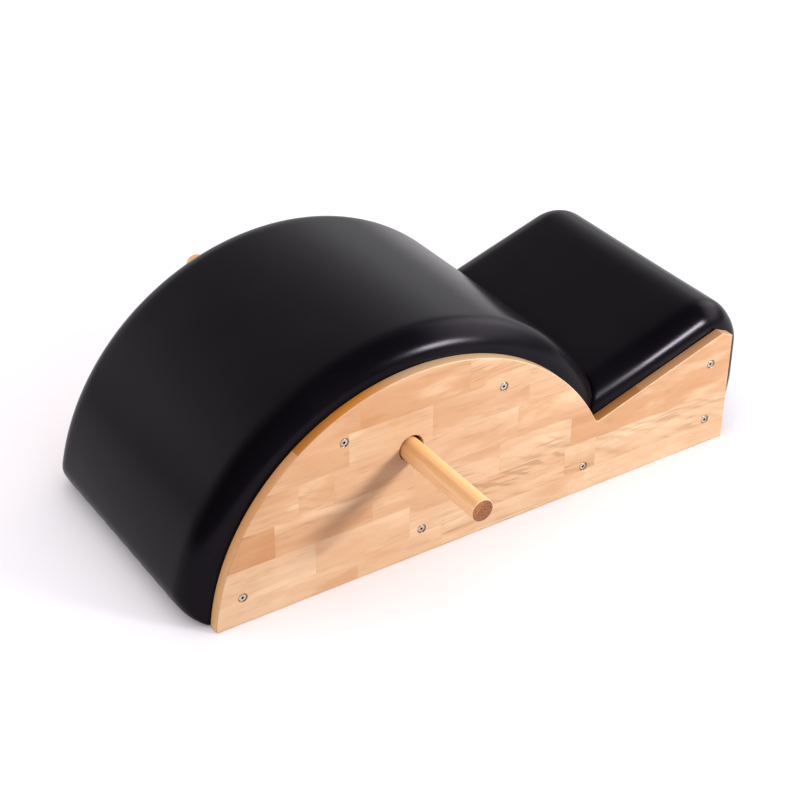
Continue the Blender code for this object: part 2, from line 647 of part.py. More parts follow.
def build():
    """Build every piece of the spine corrector."""
    clear_scene()
    parts = new_collection("spine_corrector")
    cutters = new_collection("cutters")

    panel_wood = new_material("panel_wood", (0.80, 0.55, 0.34), 0.35)
    handle_wood = new_material("handle_wood", (0.84, 0.62, 0.38), 0.45)
    rail_wood = new_material("rail_wood", (0.78, 0.62, 0.42), 0.7)
    plywood = new_material("plywood", (0.70, 0.54, 0.36), 0.7)
    foam = new_material("foam", (0.80, 0.78, 0.66), 0.95)
    leather = new_material("leather", (0.022, 0.020, 0.022), 0.38)
    steel = new_material("bolt_steel", (0.72, 0.70, 0.67), 0.28, 1.0)
    cup_steel = new_material("cup_steel", (0.36, 0.33, 0.30), 0.4, 1.0)

    bore = turned("bolt_bore", bolt_bore_profile(), BOLT_STEPS, cutters)
    bolt = bolt_mesh(cutters)
    cup = turned("cup", cup_profile(), BOLT_STEPS, cutters, closed=True)
    room = Vector((GAP, GAP, GAP))
    panel_cutters = {-1: [], 1: []}
    rail_cutters = []
    for place, x, half, z in rail_places():
        low = Vector((x - half, GAP - INNER_HALF, z - RAIL_HEIGHT / 2))
        high = Vector((x + half, INNER_HALF - GAP, z + RAIL_HEIGHT / 2))
        rail = box(place + "_rail", low, high, rail_wood, parts)
        rail_cutters.append(as_cutter(box(place + "_rail_cutter", low - room, high + room,
                                          None, cutters)))
        for side, word in ((-1, "near"), (1, "far")):
            stem = f"{word}_{place}"
            matrix = bolt_matrix(x, z, side)
            bore_cutter = as_cutter(placed(stem + "_bore", bore, matrix, None, cutters))
            cut(rail, bore_cutter)
            panel_cutters[side].append(bore_cutter)
            placed(stem + "_bolt", bolt, matrix, steel, parts)
            placed(stem + "_cup_washer", cup, matrix, cup_steel, parts)
    for side, word in ((-1, "near"), (1, "far")):
        near_y, far_y = sorted((side * HALF_WIDTH, side * INNER_HALF))
        panel = extruded(word + "_side_panel", panel_outline(), near_y, far_y, panel_wood, parts,
                         PANEL_EDGE_ROUND)
        hole = handle_hole_cutter(word + "_handle_hole", HANDLE_HOLE_DIAMETER, near_y, far_y,
                                  HANDLE_HOLE_EASE, cutters)
        cut(panel, hole, *panel_cutters[side])

    handle_profile = [
        (0.0, HANDLE_LENGTH / 2),
        (HANDLE_DIAMETER / 2 - HANDLE_END_ROUND, HANDLE_LENGTH / 2),
        (HANDLE_DIAMETER / 2, HANDLE_LENGTH / 2 - HANDLE_END_ROUND),
        (HANDLE_DIAMETER / 2, HANDLE_END_ROUND - HANDLE_LENGTH / 2),
        (HANDLE_DIAMETER / 2 - HANDLE_END_ROUND, -HANDLE_LENGTH / 2),
        (0.0, -HANDLE_LENGTH / 2)]
    handle = new_object("handle_rod", turned("handle", handle_profile, HOLE_STEPS, cutters),
                        handle_wood, parts)
    handle.location = (HANDLE_X, 0.0, HANDLE_HEIGHT)
    handle.rotation_euler = (math.pi / 2, 0.0, 0.0)

    strip_top = FRAME_BOTTOM + TACK_STRIP_HEIGHT
    barrel_strip_x = on_barrel_at_height(DECK_INNER_RADIUS - GAP, strip_top, -1).x
    step_strip_x = END_BOARD_INNER_X - GAP
    strip_cutters = []
    for name, start in (("barrel_tack_strip", barrel_strip_x),
                        ("step_tack_strip", step_strip_x - TACK_STRIP_WIDTH)):
        low = Vector((start, -FRAME_HALF, FRAME_BOTTOM))
        high = Vector((start + TACK_STRIP_WIDTH, FRAME_HALF, strip_top))
        box(name, low, high, rail_wood, parts)
        wider = Vector((DECK_DEPTH, GAP, GAP))
        strip_cutters.append(as_cutter(box(name + "_cutter", low - wider, high + room,
                                           None, cutters)))

    extruded("valley_batten", batten_outline(0.0), -FRAME_HALF, FRAME_HALF, rail_wood, parts)
    batten_cutter = as_cutter(extruded("batten_cutter", batten_outline(GAP), -HALF_WIDTH,
                                       HALF_WIDTH, None, cutters))
    nose = nosing_outline()
    extruded("step_nosing", nose, -NOSING_HALF, NOSING_HALF, rail_wood, parts)
    nosing_cutter = as_cutter(box("nosing_cutter",
                                  (nose[-1].x - DECK_DEPTH, -HALF_WIDTH, nose[-1].y - GAP),
                                  (CROWN_END_X, HALF_WIDTH, nose[0].y + DECK_DEPTH), None, cutters))

    barrel_side = board_half_width(BARREL_PAD_HEIGHT + DECK_DEPTH)
    step_side = board_half_width(STEP_PAD_HEIGHT + DECK_DEPTH)
    extruded("barrel_deck", deck_outline(), -barrel_side, barrel_side, plywood, parts)
    extruded("step_deck", step_deck_outline(), -step_side, step_side, plywood, parts)
    box("end_board", (END_BOARD_INNER_X, -FRAME_HALF, FRAME_BOTTOM),
        (END_BOARD_X, FRAME_HALF, STEP_HEAD_RAIL_HEIGHT + RAIL_HEIGHT / 2), plywood, parts)

    for word, middle in (("near", RIB_THICKNESS / 2 - FRAME_HALF), ("centre", 0.0),
                         ("far", FRAME_HALF - RIB_THICKNESS / 2)):
        near_y = middle - RIB_THICKNESS / 2
        far_y = middle + RIB_THICKNESS / 2
        rib = extruded(word + "_rib", rib_outline(GAP), near_y, far_y, plywood, parts)
        hole = handle_hole_cutter(word + "_rib_hole", RIB_HOLE_DIAMETER, near_y, far_y,
                                  0.0, cutters)
        cut(rib, hole, batten_cutter, nosing_cutter, *strip_cutters, *rail_cutters)

    foam_skin = LEATHER + FOAM_EASE
    foam_radius = DECK_RADIUS + GAP
    barrel_foam_edge = PAD_RADIUS - foam_radius - FOAM_EDGE
    step_foam_edge = STEP_PAD_HEIGHT + DECK_DEPTH - GAP - FOAM_EDGE
    lofted("barrel_foam",
           [(y, barrel_outline(depth, foam_skin, foam_radius))
            for y, depth in pad_stations(foam_skin, barrel_foam_edge)], foam, parts)
    lofted("step_foam",
           [(y, step_outline(depth, foam_skin, list(reversed(nosing_arc(GAP)))))
            for y, depth in pad_stations(foam_skin, step_foam_edge)], foam, parts)

    past = LEATHER_OVERLAP / 2
    tuck, room_tuck = ([slope_point(STEP_DECK_UNDERSIDE + overlap, END_BOARD_INNER_X - overlap)]
                       for overlap in (LEATHER_OVERLAP, LEATHER_OVERLAP + past))
    barrel_cover = lofted("barrel_cover",
                          [(y, barrel_outline(depth, 0.0, COVER_INNER_RADIUS))
                           for y, depth in pad_stations(0.0)], leather, parts)
    barrel_room = lofted("barrel_cover_room",
                         [(y, barrel_outline(depth, LEATHER, COVER_INNER_RADIUS - past))
                          for y, depth in pad_stations(LEATHER)], None, cutters)
    step_cover = lofted("step_cover",
                        [(y, step_outline(depth, 0.0, tuck))
                         for y, depth in pad_stations(0.0)], leather, parts)
    step_room = lofted("step_cover_room",
                       [(y, step_outline(depth, LEATHER, room_tuck))
                        for y, depth in pad_stations(LEATHER)], None, cutters)
    frame_room = as_cutter(extruded("frame_room", rib_outline(0.0), -FRAME_HALF - GAP / 2,
                                    FRAME_HALF + GAP / 2, None, cutters))
    cut(barrel_cover, as_cutter(barrel_room), frame_room, *rail_cutters)
    cut(step_cover, as_cutter(step_room), frame_room, *rail_cutters)


build()
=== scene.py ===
"""Looks of a spine corrector: rubberwood side panels, a leather barrel and step, a wooden handle.

X runs from the barrel end to the step end, Y from the near panel to the far one, Z up, in metres.
"""

import logging
import math
from collections.abc import Iterator, Sequence
from contextlib import contextmanager
from dataclasses import dataclass, field
from enum import Enum

import bmesh
import bpy
import numpy as np
from bpy.types import Material, Mesh, Node, NodeSocket, NodeTree, Object
from mathutils import Matrix, Vector


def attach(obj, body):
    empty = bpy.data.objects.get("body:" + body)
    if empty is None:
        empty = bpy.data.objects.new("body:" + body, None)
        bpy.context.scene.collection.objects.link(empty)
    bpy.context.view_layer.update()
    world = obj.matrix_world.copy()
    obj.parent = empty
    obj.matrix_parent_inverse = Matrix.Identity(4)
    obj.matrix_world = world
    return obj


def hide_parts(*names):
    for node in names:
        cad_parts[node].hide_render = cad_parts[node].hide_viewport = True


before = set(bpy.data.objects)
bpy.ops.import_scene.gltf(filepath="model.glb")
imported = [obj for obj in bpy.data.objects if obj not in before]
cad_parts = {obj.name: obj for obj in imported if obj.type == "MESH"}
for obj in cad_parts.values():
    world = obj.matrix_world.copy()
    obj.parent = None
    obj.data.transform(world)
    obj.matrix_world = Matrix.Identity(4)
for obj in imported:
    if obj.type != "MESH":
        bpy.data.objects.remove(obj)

LOG = logging.getLogger("spine_corrector")
BODY = "corrector"
HANDLE_BODY = "handle"
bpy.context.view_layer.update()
WELD = 1e-6
ACROSS = Matrix.Rotation(math.pi / 2, 4, "X")


class Side(Enum):
    """Which side panel a piece belongs to, as the sign of its Y."""

    NEAR = -1
    FAR = 1

    @property
    def word(self) -> str:
        """Return the side's name as the nodes spell it."""
        return self.name.lower()


# Shader helpers


class NodeSketch:
    """Short calls for building one node tree."""

    def __init__(self, tree: NodeTree) -> None:
        """Keep the tree and empty it.

        Args:
            tree: the node tree that the calls add to.
        """
        self.tree = tree
        self.tree.nodes.clear()
        self.column = 0

    def add(self, kind: str, settings: dict | None = None, **inputs: object) -> Node:
        """Add a node.

        Args:
            kind: the node's type name.
            settings: the node's own properties.
            inputs: socket names, with spaces as underscores, and a value or a socket to link.

        Returns:
            The new node.
        """
        node = self.tree.nodes.new(kind)
        node.location = (self.column * 190.0, -(self.column % 4) * 60.0)
        self.column += 1
        for name, value in (settings or {}).items():
            setattr(node, name, value)
        for name, value in inputs.items():
            self.feed(node.inputs[name.replace("_", " ")], value)
        return node

    def feed(self, socket: NodeSocket, value: object) -> None:
        """Link a socket to the input, or set its value.

        Args:
            socket: the input.
            value: a socket, or the input's value.
        """
        if isinstance(value, NodeSocket):
            self.tree.links.new(value, socket)
        else:
            socket.default_value = value

    def math(self, operation: str, *values: object, clamp: bool = False) -> NodeSocket:
        """Add a Math node.

        Args:
            operation: the node's operation.
            values: up to three numbers or sockets.
            clamp: whether the result stays within 0 and 1.

        Returns:
            The result's socket.
        """
        node = self.add("ShaderNodeMath", {"operation": operation, "use_clamp": clamp})
        for socket, value in zip(node.inputs, values):
            self.feed(socket, value)
        return node.outputs[0]

    def vector_math(self, operation: str, *values: object) -> Node:
        """Add a Vector Math node.

        Args:
            operation: the node's operation.
            values: up to three vectors or sockets.

        Returns:
            The new node.
        """
        node = self.add("ShaderNodeVectorMath", {"operation": operation})
        for socket, value in zip(node.inputs, values):
            self.feed(socket, value)
        return node

    def mix(self, factor: object, first: object, second: object,
            blend: str = "MIX") -> NodeSocket:
        """Mix two colours.

        Args:
            factor: share of the second colour.
            first: the first colour or its socket.
            second: the second colour or its socket.
            blend: the blend type.

        Returns:
            The mixed colour's socket.
        """
        node = self.add("ShaderNodeMix", {"data_type": "RGBA", "blend_type": blend})
        self.feed(node.inputs[0], factor)
        self.feed(node.inputs[6], first)
        self.feed(node.inputs[7], second)
        return node.outputs[2]

    def tint(self, base: object, colour: object, mask: object,
             share: float) -> NodeSocket:
        """Mix a share of a colour into a base where a mask is 1."""
        return self.mix(self.times(mask, share), base, colour)

    def ramp(self, value: object, low: float, high: float, to_low: float = 0.0,
             to_high: float = 1.0) -> NodeSocket:
        """Map a value smoothly from one range to another.

        Args:
            value: the number or socket to map.
            low: where the result is to_low.
            high: where the result is to_high.
            to_low: result at low.
            to_high: result at high.

        Returns:
            The result's socket.
        """
        node = self.add("ShaderNodeMapRange", {"interpolation_type": "SMOOTHSTEP"})
        for index, number in enumerate((value, low, high, to_low, to_high)):
            self.feed(node.inputs[index], number)
        return node.outputs[0]

    def noise(self, vector: object, scale: float, detail: float = 2.0,
              roughness: float = 0.5) -> NodeSocket:
        """Add a Noise texture.

        Args:
            vector: the coordinates' socket.
            scale: cycles for each unit of the coordinates.
            detail: octaves.
            roughness: strength of the finer octaves.

        Returns:
            The noise factor's socket.
        """
        node = self.add("ShaderNodeTexNoise", Vector=vector, Scale=scale, Detail=detail,
                        Roughness=roughness)
        return node.outputs[0]

    def streaks(self, vector: object, scale: tuple[float, float, float], detail: float = 2.0,
                roughness: float = 0.5) -> NodeSocket:
        """Add a Noise texture whose cycles for each metre differ along each axis."""
        stretched = self.vector_math("MULTIPLY", vector, scale).outputs[0]
        return self.noise(stretched, 1.0, detail, roughness)

    def times(self, first: object, second: object) -> NodeSocket:
        """Multiply two numbers or sockets."""
        return self.math("MULTIPLY", first, second)

    def split(self, vector: NodeSocket) -> bpy.types.bpy_prop_collection:
        """Return the sockets of a vector's X, Y and Z."""
        return self.add("ShaderNodeSeparateXYZ", Vector=vector).outputs

    def join(self, x: object, y: object, z: object) -> NodeSocket:
        """Return the vector of three numbers or sockets."""
        return self.add("ShaderNodeCombineXYZ", X=x, Y=y, Z=z).outputs[0]

    def coordinates(self, kind: str = "Object") -> NodeSocket:
        """Return the shading point's coordinates of a kind, or its normal."""
        return self.add("ShaderNodeTexCoord").outputs[kind]


def new_group(name: str, inputs: dict[str, str], outputs: dict[str, str]) -> tuple:
    """Start a shader node group.

    Args:
        name: the group's name.
        inputs: socket type for each input's name.
        outputs: socket type for each output's name.

    Returns:
        The group, a sketch of its tree, its input node and its output node.
    """
    group = bpy.data.node_groups.new(name, "ShaderNodeTree")
    for direction, sockets in (("INPUT", inputs), ("OUTPUT", outputs)):
        for socket, kind in sockets.items():
            group.interface.new_socket(name=socket, in_out=direction, socket_type=kind)
    sketch = NodeSketch(group)
    return group, sketch, sketch.add("NodeGroupInput"), sketch.add("NodeGroupOutput")


class EffectLibrary:
    """Shader groups that several finishes share, each built once."""

    def __init__(self) -> None:
        """Build the groups."""
        self.fibre = self.build_fibre()
        self.wear = self.build_wear()

    @staticmethod
    def build_fibre() -> NodeTree:
        """Build the wood fibre group.

        Returns:
            A group whose grain runs along the coordinates' X.
        """
        group, sketch, source, sink = new_group(
            "wood_fibre",
            {"Vector": "NodeSocketVector", "Flame": "NodeSocketFloat",
             "Lines": "NodeSocketFloat", "Pores": "NodeSocketFloat"},
            {"Tone": "NodeSocketFloat", "Streak": "NodeSocketFloat", "Pore": "NodeSocketFloat",
             "Height": "NodeSocketFloat"})
        place = source.outputs["Vector"]
        bend = sketch.streaks(place, (3.4, 9.0, 9.0))
        warped = sketch.vector_math(
            "ADD", place, sketch.join(0.0, sketch.times(bend, 0.036), 0.0)).outputs[0]
        broad = sketch.streaks(warped, (3.2, 30.0, 30.0), 3.0)
        fine = sketch.streaks(warped, (14.0, 700.0, 700.0), 2.0, 0.6)
        runs = sketch.streaks(warped, (11.0, 270.0, 270.0), 2.0, 0.6)
        patches = sketch.streaks(place, (7.0, 34.0, 34.0), 1.0)
        lines = sketch.times(sketch.ramp(runs, 0.52, 0.62), sketch.ramp(patches, 0.46, 0.60))
        soft = sketch.streaks(warped, (6.0, 85.0, 85.0))
        lines = sketch.math("ADD", lines, sketch.ramp(soft, 0.52, 0.72, 0.0, 0.36))
        lines = sketch.times(lines, source.outputs["Lines"])
        along, across, through = sketch.split(warped)
        diagonal = sketch.join(sketch.times(along, 0.55),
                               sketch.math("ADD", across, sketch.times(along, 0.30)), through)
        bands = sketch.add("ShaderNodeTexWave",
                           {"wave_type": "BANDS", "bands_direction": "Y"},
                           Vector=diagonal, Scale=19.0, Distortion=6.5, Detail=2.0,
                           Detail_Scale=1.1).outputs["Fac"]
        flame = sketch.times(sketch.ramp(bands, 0.45, 1.0), sketch.ramp(patches, 0.30, 0.55))
        flame = sketch.times(flame, source.outputs["Flame"])
        pores = sketch.streaks(warped, (36.0, 950.0, 950.0), 1.0)
        gaps = sketch.streaks(place, (9.0, 60.0, 60.0))
        pore = sketch.times(sketch.ramp(pores, 0.58, 0.72), sketch.ramp(gaps, 0.40, 0.62))
        pore = sketch.math("MULTIPLY", pore, source.outputs["Pores"], clamp=True)
        streak = sketch.math("ADD", lines, flame, clamp=True)
        height = sketch.math("SUBTRACT", fine, sketch.times(pore, 1.5))
        for name, socket in (("Tone", broad), ("Streak", streak), ("Pore", pore),
                             ("Height", height)):
            sketch.feed(sink.inputs[name], socket)
        return group

    @staticmethod
    def build_wear() -> NodeTree:
        """Build the handling wear group.

        Returns:
            A group with a soft smudge mask and a fine speckle.
        """
        group, sketch, source, sink = new_group(
            "handling_wear", {"Vector": "NodeSocketVector", "Scale": "NodeSocketFloat"},
            {"Smudge": "NodeSocketFloat", "Speckle": "NodeSocketFloat"})
        place = sketch.vector_math("SCALE", source.outputs["Vector"])
        sketch.feed(place.inputs["Scale"], source.outputs["Scale"])
        smudge = sketch.ramp(sketch.noise(place.outputs[0], 6.0, 4.0, 0.6), 0.42, 0.72)
        speckle = sketch.ramp(sketch.noise(place.outputs[0], 420.0, 1.0), 0.60, 0.72)
        sketch.feed(sink.inputs["Smudge"], smudge)
        sketch.feed(sink.inputs["Speckle"], speckle)
        return group


@dataclass(frozen=True)
class Finish:
    """A surface finish with one Principled shader."""

    name: str
    roughness: float

    def start(self) -> tuple[Material, NodeSketch, Node]:
        """Start the material.

        Returns:
            The new material, its sketch and its Principled shader.
        """
        material = bpy.data.materials.new(self.name)
        material.use_nodes = True
        sketch = NodeSketch(material.node_tree)
        shader = sketch.add("ShaderNodeBsdfPrincipled", Roughness=self.roughness)
        output = sketch.add("ShaderNodeOutputMaterial")
        sketch.feed(output.inputs["Surface"], shader.outputs[0])
        return material, sketch, shader

    @staticmethod
    def effect(sketch: NodeSketch, group: NodeTree, **inputs: object) -> Node:
        """Place a shared effect in a material.

        Args:
            sketch: the material's tree.
            group: the effect.
            inputs: its inputs' names and values.

        Returns:
            The effect's node.
        """
        node = sketch.add("ShaderNodeGroup", {"node_tree": group})
        for name, value in inputs.items():
            sketch.feed(node.inputs[name], value)
        return node

    def roughen(self, sketch: NodeSketch, shader: Node, mask: NodeSocket,
                extra: float) -> None:
        """Feed the shader's roughness: the base, and extra where a mask is 1."""
        rough = sketch.math("ADD", self.roughness, sketch.times(mask, extra))
        sketch.feed(shader.inputs["Roughness"], rough)

    @staticmethod
    def bump(sketch: NodeSketch, shader: Node, height: object, distance: float,
             strength: float = 1.0) -> None:
        """Feed the shader's normal from a height, in metres at full strength."""
        node = sketch.add("ShaderNodeBump", Height=height, Distance=distance, Strength=strength)
        sketch.feed(shader.inputs["Normal"], node.outputs[0])


@dataclass(frozen=True)
class StaveFinish(Finish):
    """Edge-glued rubberwood staves under clear lacquer.

    Each stave's own coordinates are in the mesh's UV map, its seed, tone, grain and length in
    face attributes, and so is the rim's colour, whose alpha is 1 on the rim.

    Args:
        pale: the palest staves' colour, then honey and brown for the darker ones.
        figure: the grain's dark lines.
        pore: the open pores.
        sapwood: the pale clouds, and the painted highlight along the rounded edges.
        stave_height: a stave's height, in metres.
        run_shift: how far a stave's seed moves its grain along it, and rise_shift across it.
        coat_roughness: roughness of the lacquer.
    """

    pale: tuple = (0.418, 0.258, 0.148, 1.0)
    honey: tuple = (0.378, 0.202, 0.101, 1.0)
    brown: tuple = (0.300, 0.123, 0.042, 1.0)
    figure: tuple = (0.235, 0.118, 0.050, 1.0)
    pore: tuple = (0.120, 0.066, 0.036, 1.0)
    sapwood: tuple = (0.485, 0.322, 0.195, 1.0)
    stave_height: float = 0.0
    run_shift: float = 7.3
    rise_shift: float = 3.1
    coat_roughness: float = 0.28

    def material(self, effects: EffectLibrary) -> Material:
        """Build the material.

        Args:
            effects: the shared effects.

        Returns:
            The new material.
        """
        material, sketch, shader = self.start()
        local = sketch.add("ShaderNodeUVMap", {"uv_map": "stave"}).outputs[0]
        seed, tone, grain, length = (
            sketch.add("ShaderNodeAttribute", {"attribute_name": "stave_" + name}).outputs["Fac"]
            for name in ("seed", "tone", "grain", "run"))
        rim = sketch.add("ShaderNodeAttribute", {"attribute_name": "stave_rim"})
        place = sketch.coordinates()
        parts = sketch.split(place)
        shifted = sketch.join(sketch.math("ADD", parts[0], sketch.times(seed, self.run_shift)),
                              sketch.math("ADD", parts[2], sketch.times(seed, self.rise_shift)),
                              sketch.math("ADD", parts[1], seed))
        fibre = self.effect(
            sketch, effects.fibre, Vector=shifted, Flame=sketch.ramp(grain, 0.5, 1.0),
            Lines=sketch.ramp(grain, 0.0, 0.5, 0.38, 1.0), Pores=0.8)
        base = sketch.mix(sketch.ramp(tone, 0.0, 0.5), self.pale, self.honey)
        base = sketch.mix(sketch.ramp(tone, 0.5, 1.0), base, self.brown)
        base = sketch.mix(sketch.ramp(fibre.outputs["Tone"], 0.40, 0.66, 0.0, 0.50), base,
                          self.honey)
        cloud = sketch.streaks(shifted, (7.0, 22.0, 22.0), 3.0)
        base = sketch.mix(sketch.ramp(cloud, 0.50, 0.68, 0.0, 0.42), base, self.brown)
        base = sketch.mix(sketch.ramp(cloud, 0.46, 0.30, 0.0, 0.55), base, self.sapwood)
        base = sketch.tint(base, self.figure, fibre.outputs["Streak"], 0.60)
        base = sketch.tint(base, self.pore, fibre.outputs["Pore"], 0.55)
        sides = sketch.split(local)
        across = sketch.math("MINIMUM", sides[1],
                             sketch.math("SUBTRACT", self.stave_height, sides[1]))
        along = sketch.math("MINIMUM", sides[0],
                            sketch.math("SUBTRACT", length, sides[0]))
        joint = sketch.math("MAXIMUM", sketch.ramp(across, 0.0001, 0.0006, 1.0, 0.0),
                            sketch.ramp(along, 0.0002, 0.0008, 1.0, 0.0))
        base = sketch.tint(base, self.brown, joint, 0.08)
        end_lines = sketch.streaks(place, (260.0, 900.0, 260.0))
        sawn = sketch.mix(sketch.ramp(end_lines, 0.35, 0.7, 0.0, 0.20), rim.outputs["Color"],
                          self.brown)
        base = sketch.mix(rim.outputs["Alpha"], base, sawn)
        # Painted highlight: a pale line in the sapwood colour along the rounded edges, between the
        # faces and the rim.
        facing = sketch.split(sketch.coordinates("Normal"))
        flat = sketch.math("ABSOLUTE", facing[1])
        painted_edge_highlight = sketch.times(sketch.ramp(flat, 0.25, 0.55),
                             sketch.ramp(flat, 0.80, 0.97, 1.0, 0.0))
        base = sketch.tint(base, self.sapwood, painted_edge_highlight, 0.35)
        sketch.feed(shader.inputs["Base Color"], base)
        wear = self.effect(sketch, effects.wear, Vector=place, Scale=1.6)
        self.roughen(sketch, shader, wear.outputs["Smudge"], 0.10)
        sketch.feed(shader.inputs["Coat Weight"],
                    sketch.ramp(rim.outputs["Alpha"], 0.0, 1.0, 0.25, 0.0))
        shader.inputs["Coat Roughness"].default_value = self.coat_roughness
        height = sketch.math("SUBTRACT", fibre.outputs["Height"], joint)
        self.bump(sketch, shader, height, 0.00006)
        return material


@dataclass(frozen=True)
class RoundWoodFinish(Finish):
    """A turned rod with straight grain along Y and brown end grain.

    Args:
        pale: the wood's ground colour.
        warm: its stripes, and the painted shade near the panels and on the upper side.
        end: the cut ends' ground colour, with end_pale and end_dark mixed in.
        gloss: the shader's specular level.
        axis_x: the rod's place along the object.
        axis_z: the rod's height.
        handled_from: reach along Y up to which the painted shade beside the panels is full.
        handled_to: reach along Y where that painted shade ends.
        pith: centre of the growth rings, from the rod's axis.
        pale_way: direction from the axis to the ends' paler side.
    """

    pale: tuple = (0.830, 0.492, 0.262, 1.0)
    warm: tuple = (0.640, 0.320, 0.120, 1.0)
    end: tuple = (0.118, 0.039, 0.014, 1.0)
    end_pale: tuple = (0.275, 0.108, 0.042, 1.0)
    end_dark: tuple = (0.056, 0.017, 0.007, 1.0)
    gloss: float = 0.3
    axis_x: float = 0.0
    axis_z: float = 0.0
    handled_from: float = 0.240
    handled_to: float = 0.290
    pith: tuple = (-0.011, 0.0, 0.02)
    pale_way: tuple = (-0.75, 0.0, 0.66)

    def material(self, effects: EffectLibrary) -> Material:
        """Build the material.

        Args:
            effects: the shared effects.

        Returns:
            The new material.
        """
        material, sketch, shader = self.start()
        place = sketch.coordinates()
        centred = sketch.vector_math("SUBTRACT", place, (self.axis_x, 0.0, self.axis_z)).outputs[0]
        parts = sketch.split(centred)
        turned = sketch.join(parts[1], parts[0], parts[2])
        fibre = self.effect(sketch, effects.fibre, Vector=turned, Flame=0.0, Lines=0.7, Pores=0.6)
        stripes = sketch.streaks(turned, (0.9, 130.0, 130.0))
        base = sketch.mix(sketch.ramp(stripes, 0.44, 0.58, 0.0, 0.45), self.pale, self.warm)
        base = sketch.tint(base, self.warm, fibre.outputs["Streak"], 0.40)
        base = sketch.tint(base, self.end, fibre.outputs["Pore"], 0.5)
        # Painted shade: the rod turns towards the warm colour where it comes out of the panels'
        # holes.
        reach = sketch.math("ABSOLUTE", parts[1])
        base = sketch.mix(sketch.ramp(reach, self.handled_from, self.handled_to, 0.65, 0.0),
                          base, self.warm)
        # Painted shade: the upward-facing side of the rod turns towards the warm colour.
        facing = sketch.split(sketch.coordinates("Normal"))
        base = sketch.mix(sketch.ramp(facing[2], 0.50, 0.95, 0.0, 0.55), base, self.warm)
        cut = sketch.ramp(sketch.math("ABSOLUTE", facing[1]), 0.55, 0.92)
        from_pith = sketch.vector_math("SUBTRACT", centred, self.pith).outputs[0]
        rings = sketch.add("ShaderNodeTexWave", {"wave_type": "RINGS", "rings_direction": "Y"},
                           Vector=from_pith, Scale=150.0, Distortion=1.6,
                           Detail=2.0).outputs["Fac"]
        specks = sketch.noise(centred, 420.0, 3.0)
        towards = sketch.vector_math("DOT_PRODUCT", centred, self.pale_way).outputs["Value"]
        patch = sketch.ramp(towards, 0.001, 0.012)
        cut_face = sketch.mix(sketch.ramp(rings, 0.2, 0.9, 0.0, 0.75), self.end, self.end_pale)
        cut_face = sketch.tint(cut_face, self.end_pale, patch, 0.55)
        cut_face = sketch.mix(sketch.ramp(specks, 0.5, 0.66, 0.0, 0.75), cut_face, self.end_dark)
        sketch.feed(shader.inputs["Base Color"], sketch.mix(cut, base, cut_face))
        shader.inputs["Specular IOR Level"].default_value = self.gloss
        wear = self.effect(sketch, effects.wear, Vector=place, Scale=3.0)
        self.roughen(sketch, shader, wear.outputs["Smudge"], 0.12)
        self.bump(sketch, shader, fibre.outputs["Height"], 0.00008)
        return material


@dataclass(frozen=True)
class LeatherFinish(Finish):
    """Smooth black upholstery leather with a fine pebble."""

    colour: tuple = (0.0019, 0.0015, 0.0021, 1.0)
    worn: tuple = (0.0032, 0.0026, 0.0034, 1.0)
    sheen: tuple = (0.93, 0.79, 1.0, 1.0)
    gloss: float = 0.165

    def material(self, effects: EffectLibrary) -> Material:
        """Build the material.

        Args:
            effects: the shared effects.

        Returns:
            The new material.
        """
        material, sketch, shader = self.start()
        place = sketch.coordinates()
        wear = self.effect(sketch, effects.wear, Vector=place, Scale=1.1)
        pebble = sketch.add("ShaderNodeTexVoronoi", {"feature": "SMOOTH_F1"}, Vector=place,
                            Scale=620.0, Smoothness=0.6).outputs["Distance"]
        creases = sketch.streaks(place, (240.0, 168.0, 240.0), 3.0, 0.6)
        base = sketch.tint(self.colour, self.worn, wear.outputs["Smudge"], 0.7)
        sketch.feed(shader.inputs["Base Color"], base)
        self.roughen(sketch, shader, wear.outputs["Smudge"], 0.03)
        shader.inputs["Specular IOR Level"].default_value = self.gloss
        shader.inputs["Specular Tint"].default_value = self.sheen
        height = sketch.math("ADD", sketch.times(pebble, 0.6), sketch.times(creases, 0.7))
        self.bump(sketch, shader, height, 0.00004, 0.35)
        return material


@dataclass(frozen=True)
class PlywoodFinish(Finish):
    """Sanded plywood: a face veneer, and layers where it is cut.

    Args:
        thickness_axis: the axis across the layers, 0 for X, 1 for Y, 2 for Z.
        layer: thickness of one layer, in metres.
    """

    thickness_axis: int = 1
    layer: float = 0.0012
    face: tuple = (0.62, 0.42, 0.22, 1.0)
    dark: tuple = (0.36, 0.21, 0.10, 1.0)

    def material(self, effects: EffectLibrary) -> Material:
        """Build the material.

        Args:
            effects: the shared effects.

        Returns:
            The new material.
        """
        material, sketch, shader = self.start()
        place = sketch.coordinates()
        parts = sketch.split(place)
        order = (1, 0, 2) if self.thickness_axis == 0 else (0, 2, 1)
        along = sketch.join(*(parts[axis] for axis in order))
        fibre = self.effect(sketch, effects.fibre, Vector=along, Flame=0.5, Lines=0.8,
                            Pores=0.5)
        base = sketch.mix(sketch.ramp(fibre.outputs["Streak"], 0.1, 0.9, 0.0, 0.55), self.face,
                          self.dark)
        layers = sketch.math("PINGPONG", parts[self.thickness_axis], self.layer)
        cut = sketch.split(sketch.coordinates("Normal"))[self.thickness_axis]
        edge = sketch.ramp(sketch.math("ABSOLUTE", cut), 0.3, 0.8, 1.0, 0.0)
        layered = sketch.times(edge, sketch.ramp(layers, self.layer / 3, self.layer * 3 / 4))
        base = sketch.tint(base, self.dark, layered, 0.6)
        sketch.feed(shader.inputs["Base Color"], base)
        self.bump(sketch, shader, fibre.outputs["Height"], 0.0001)
        return material


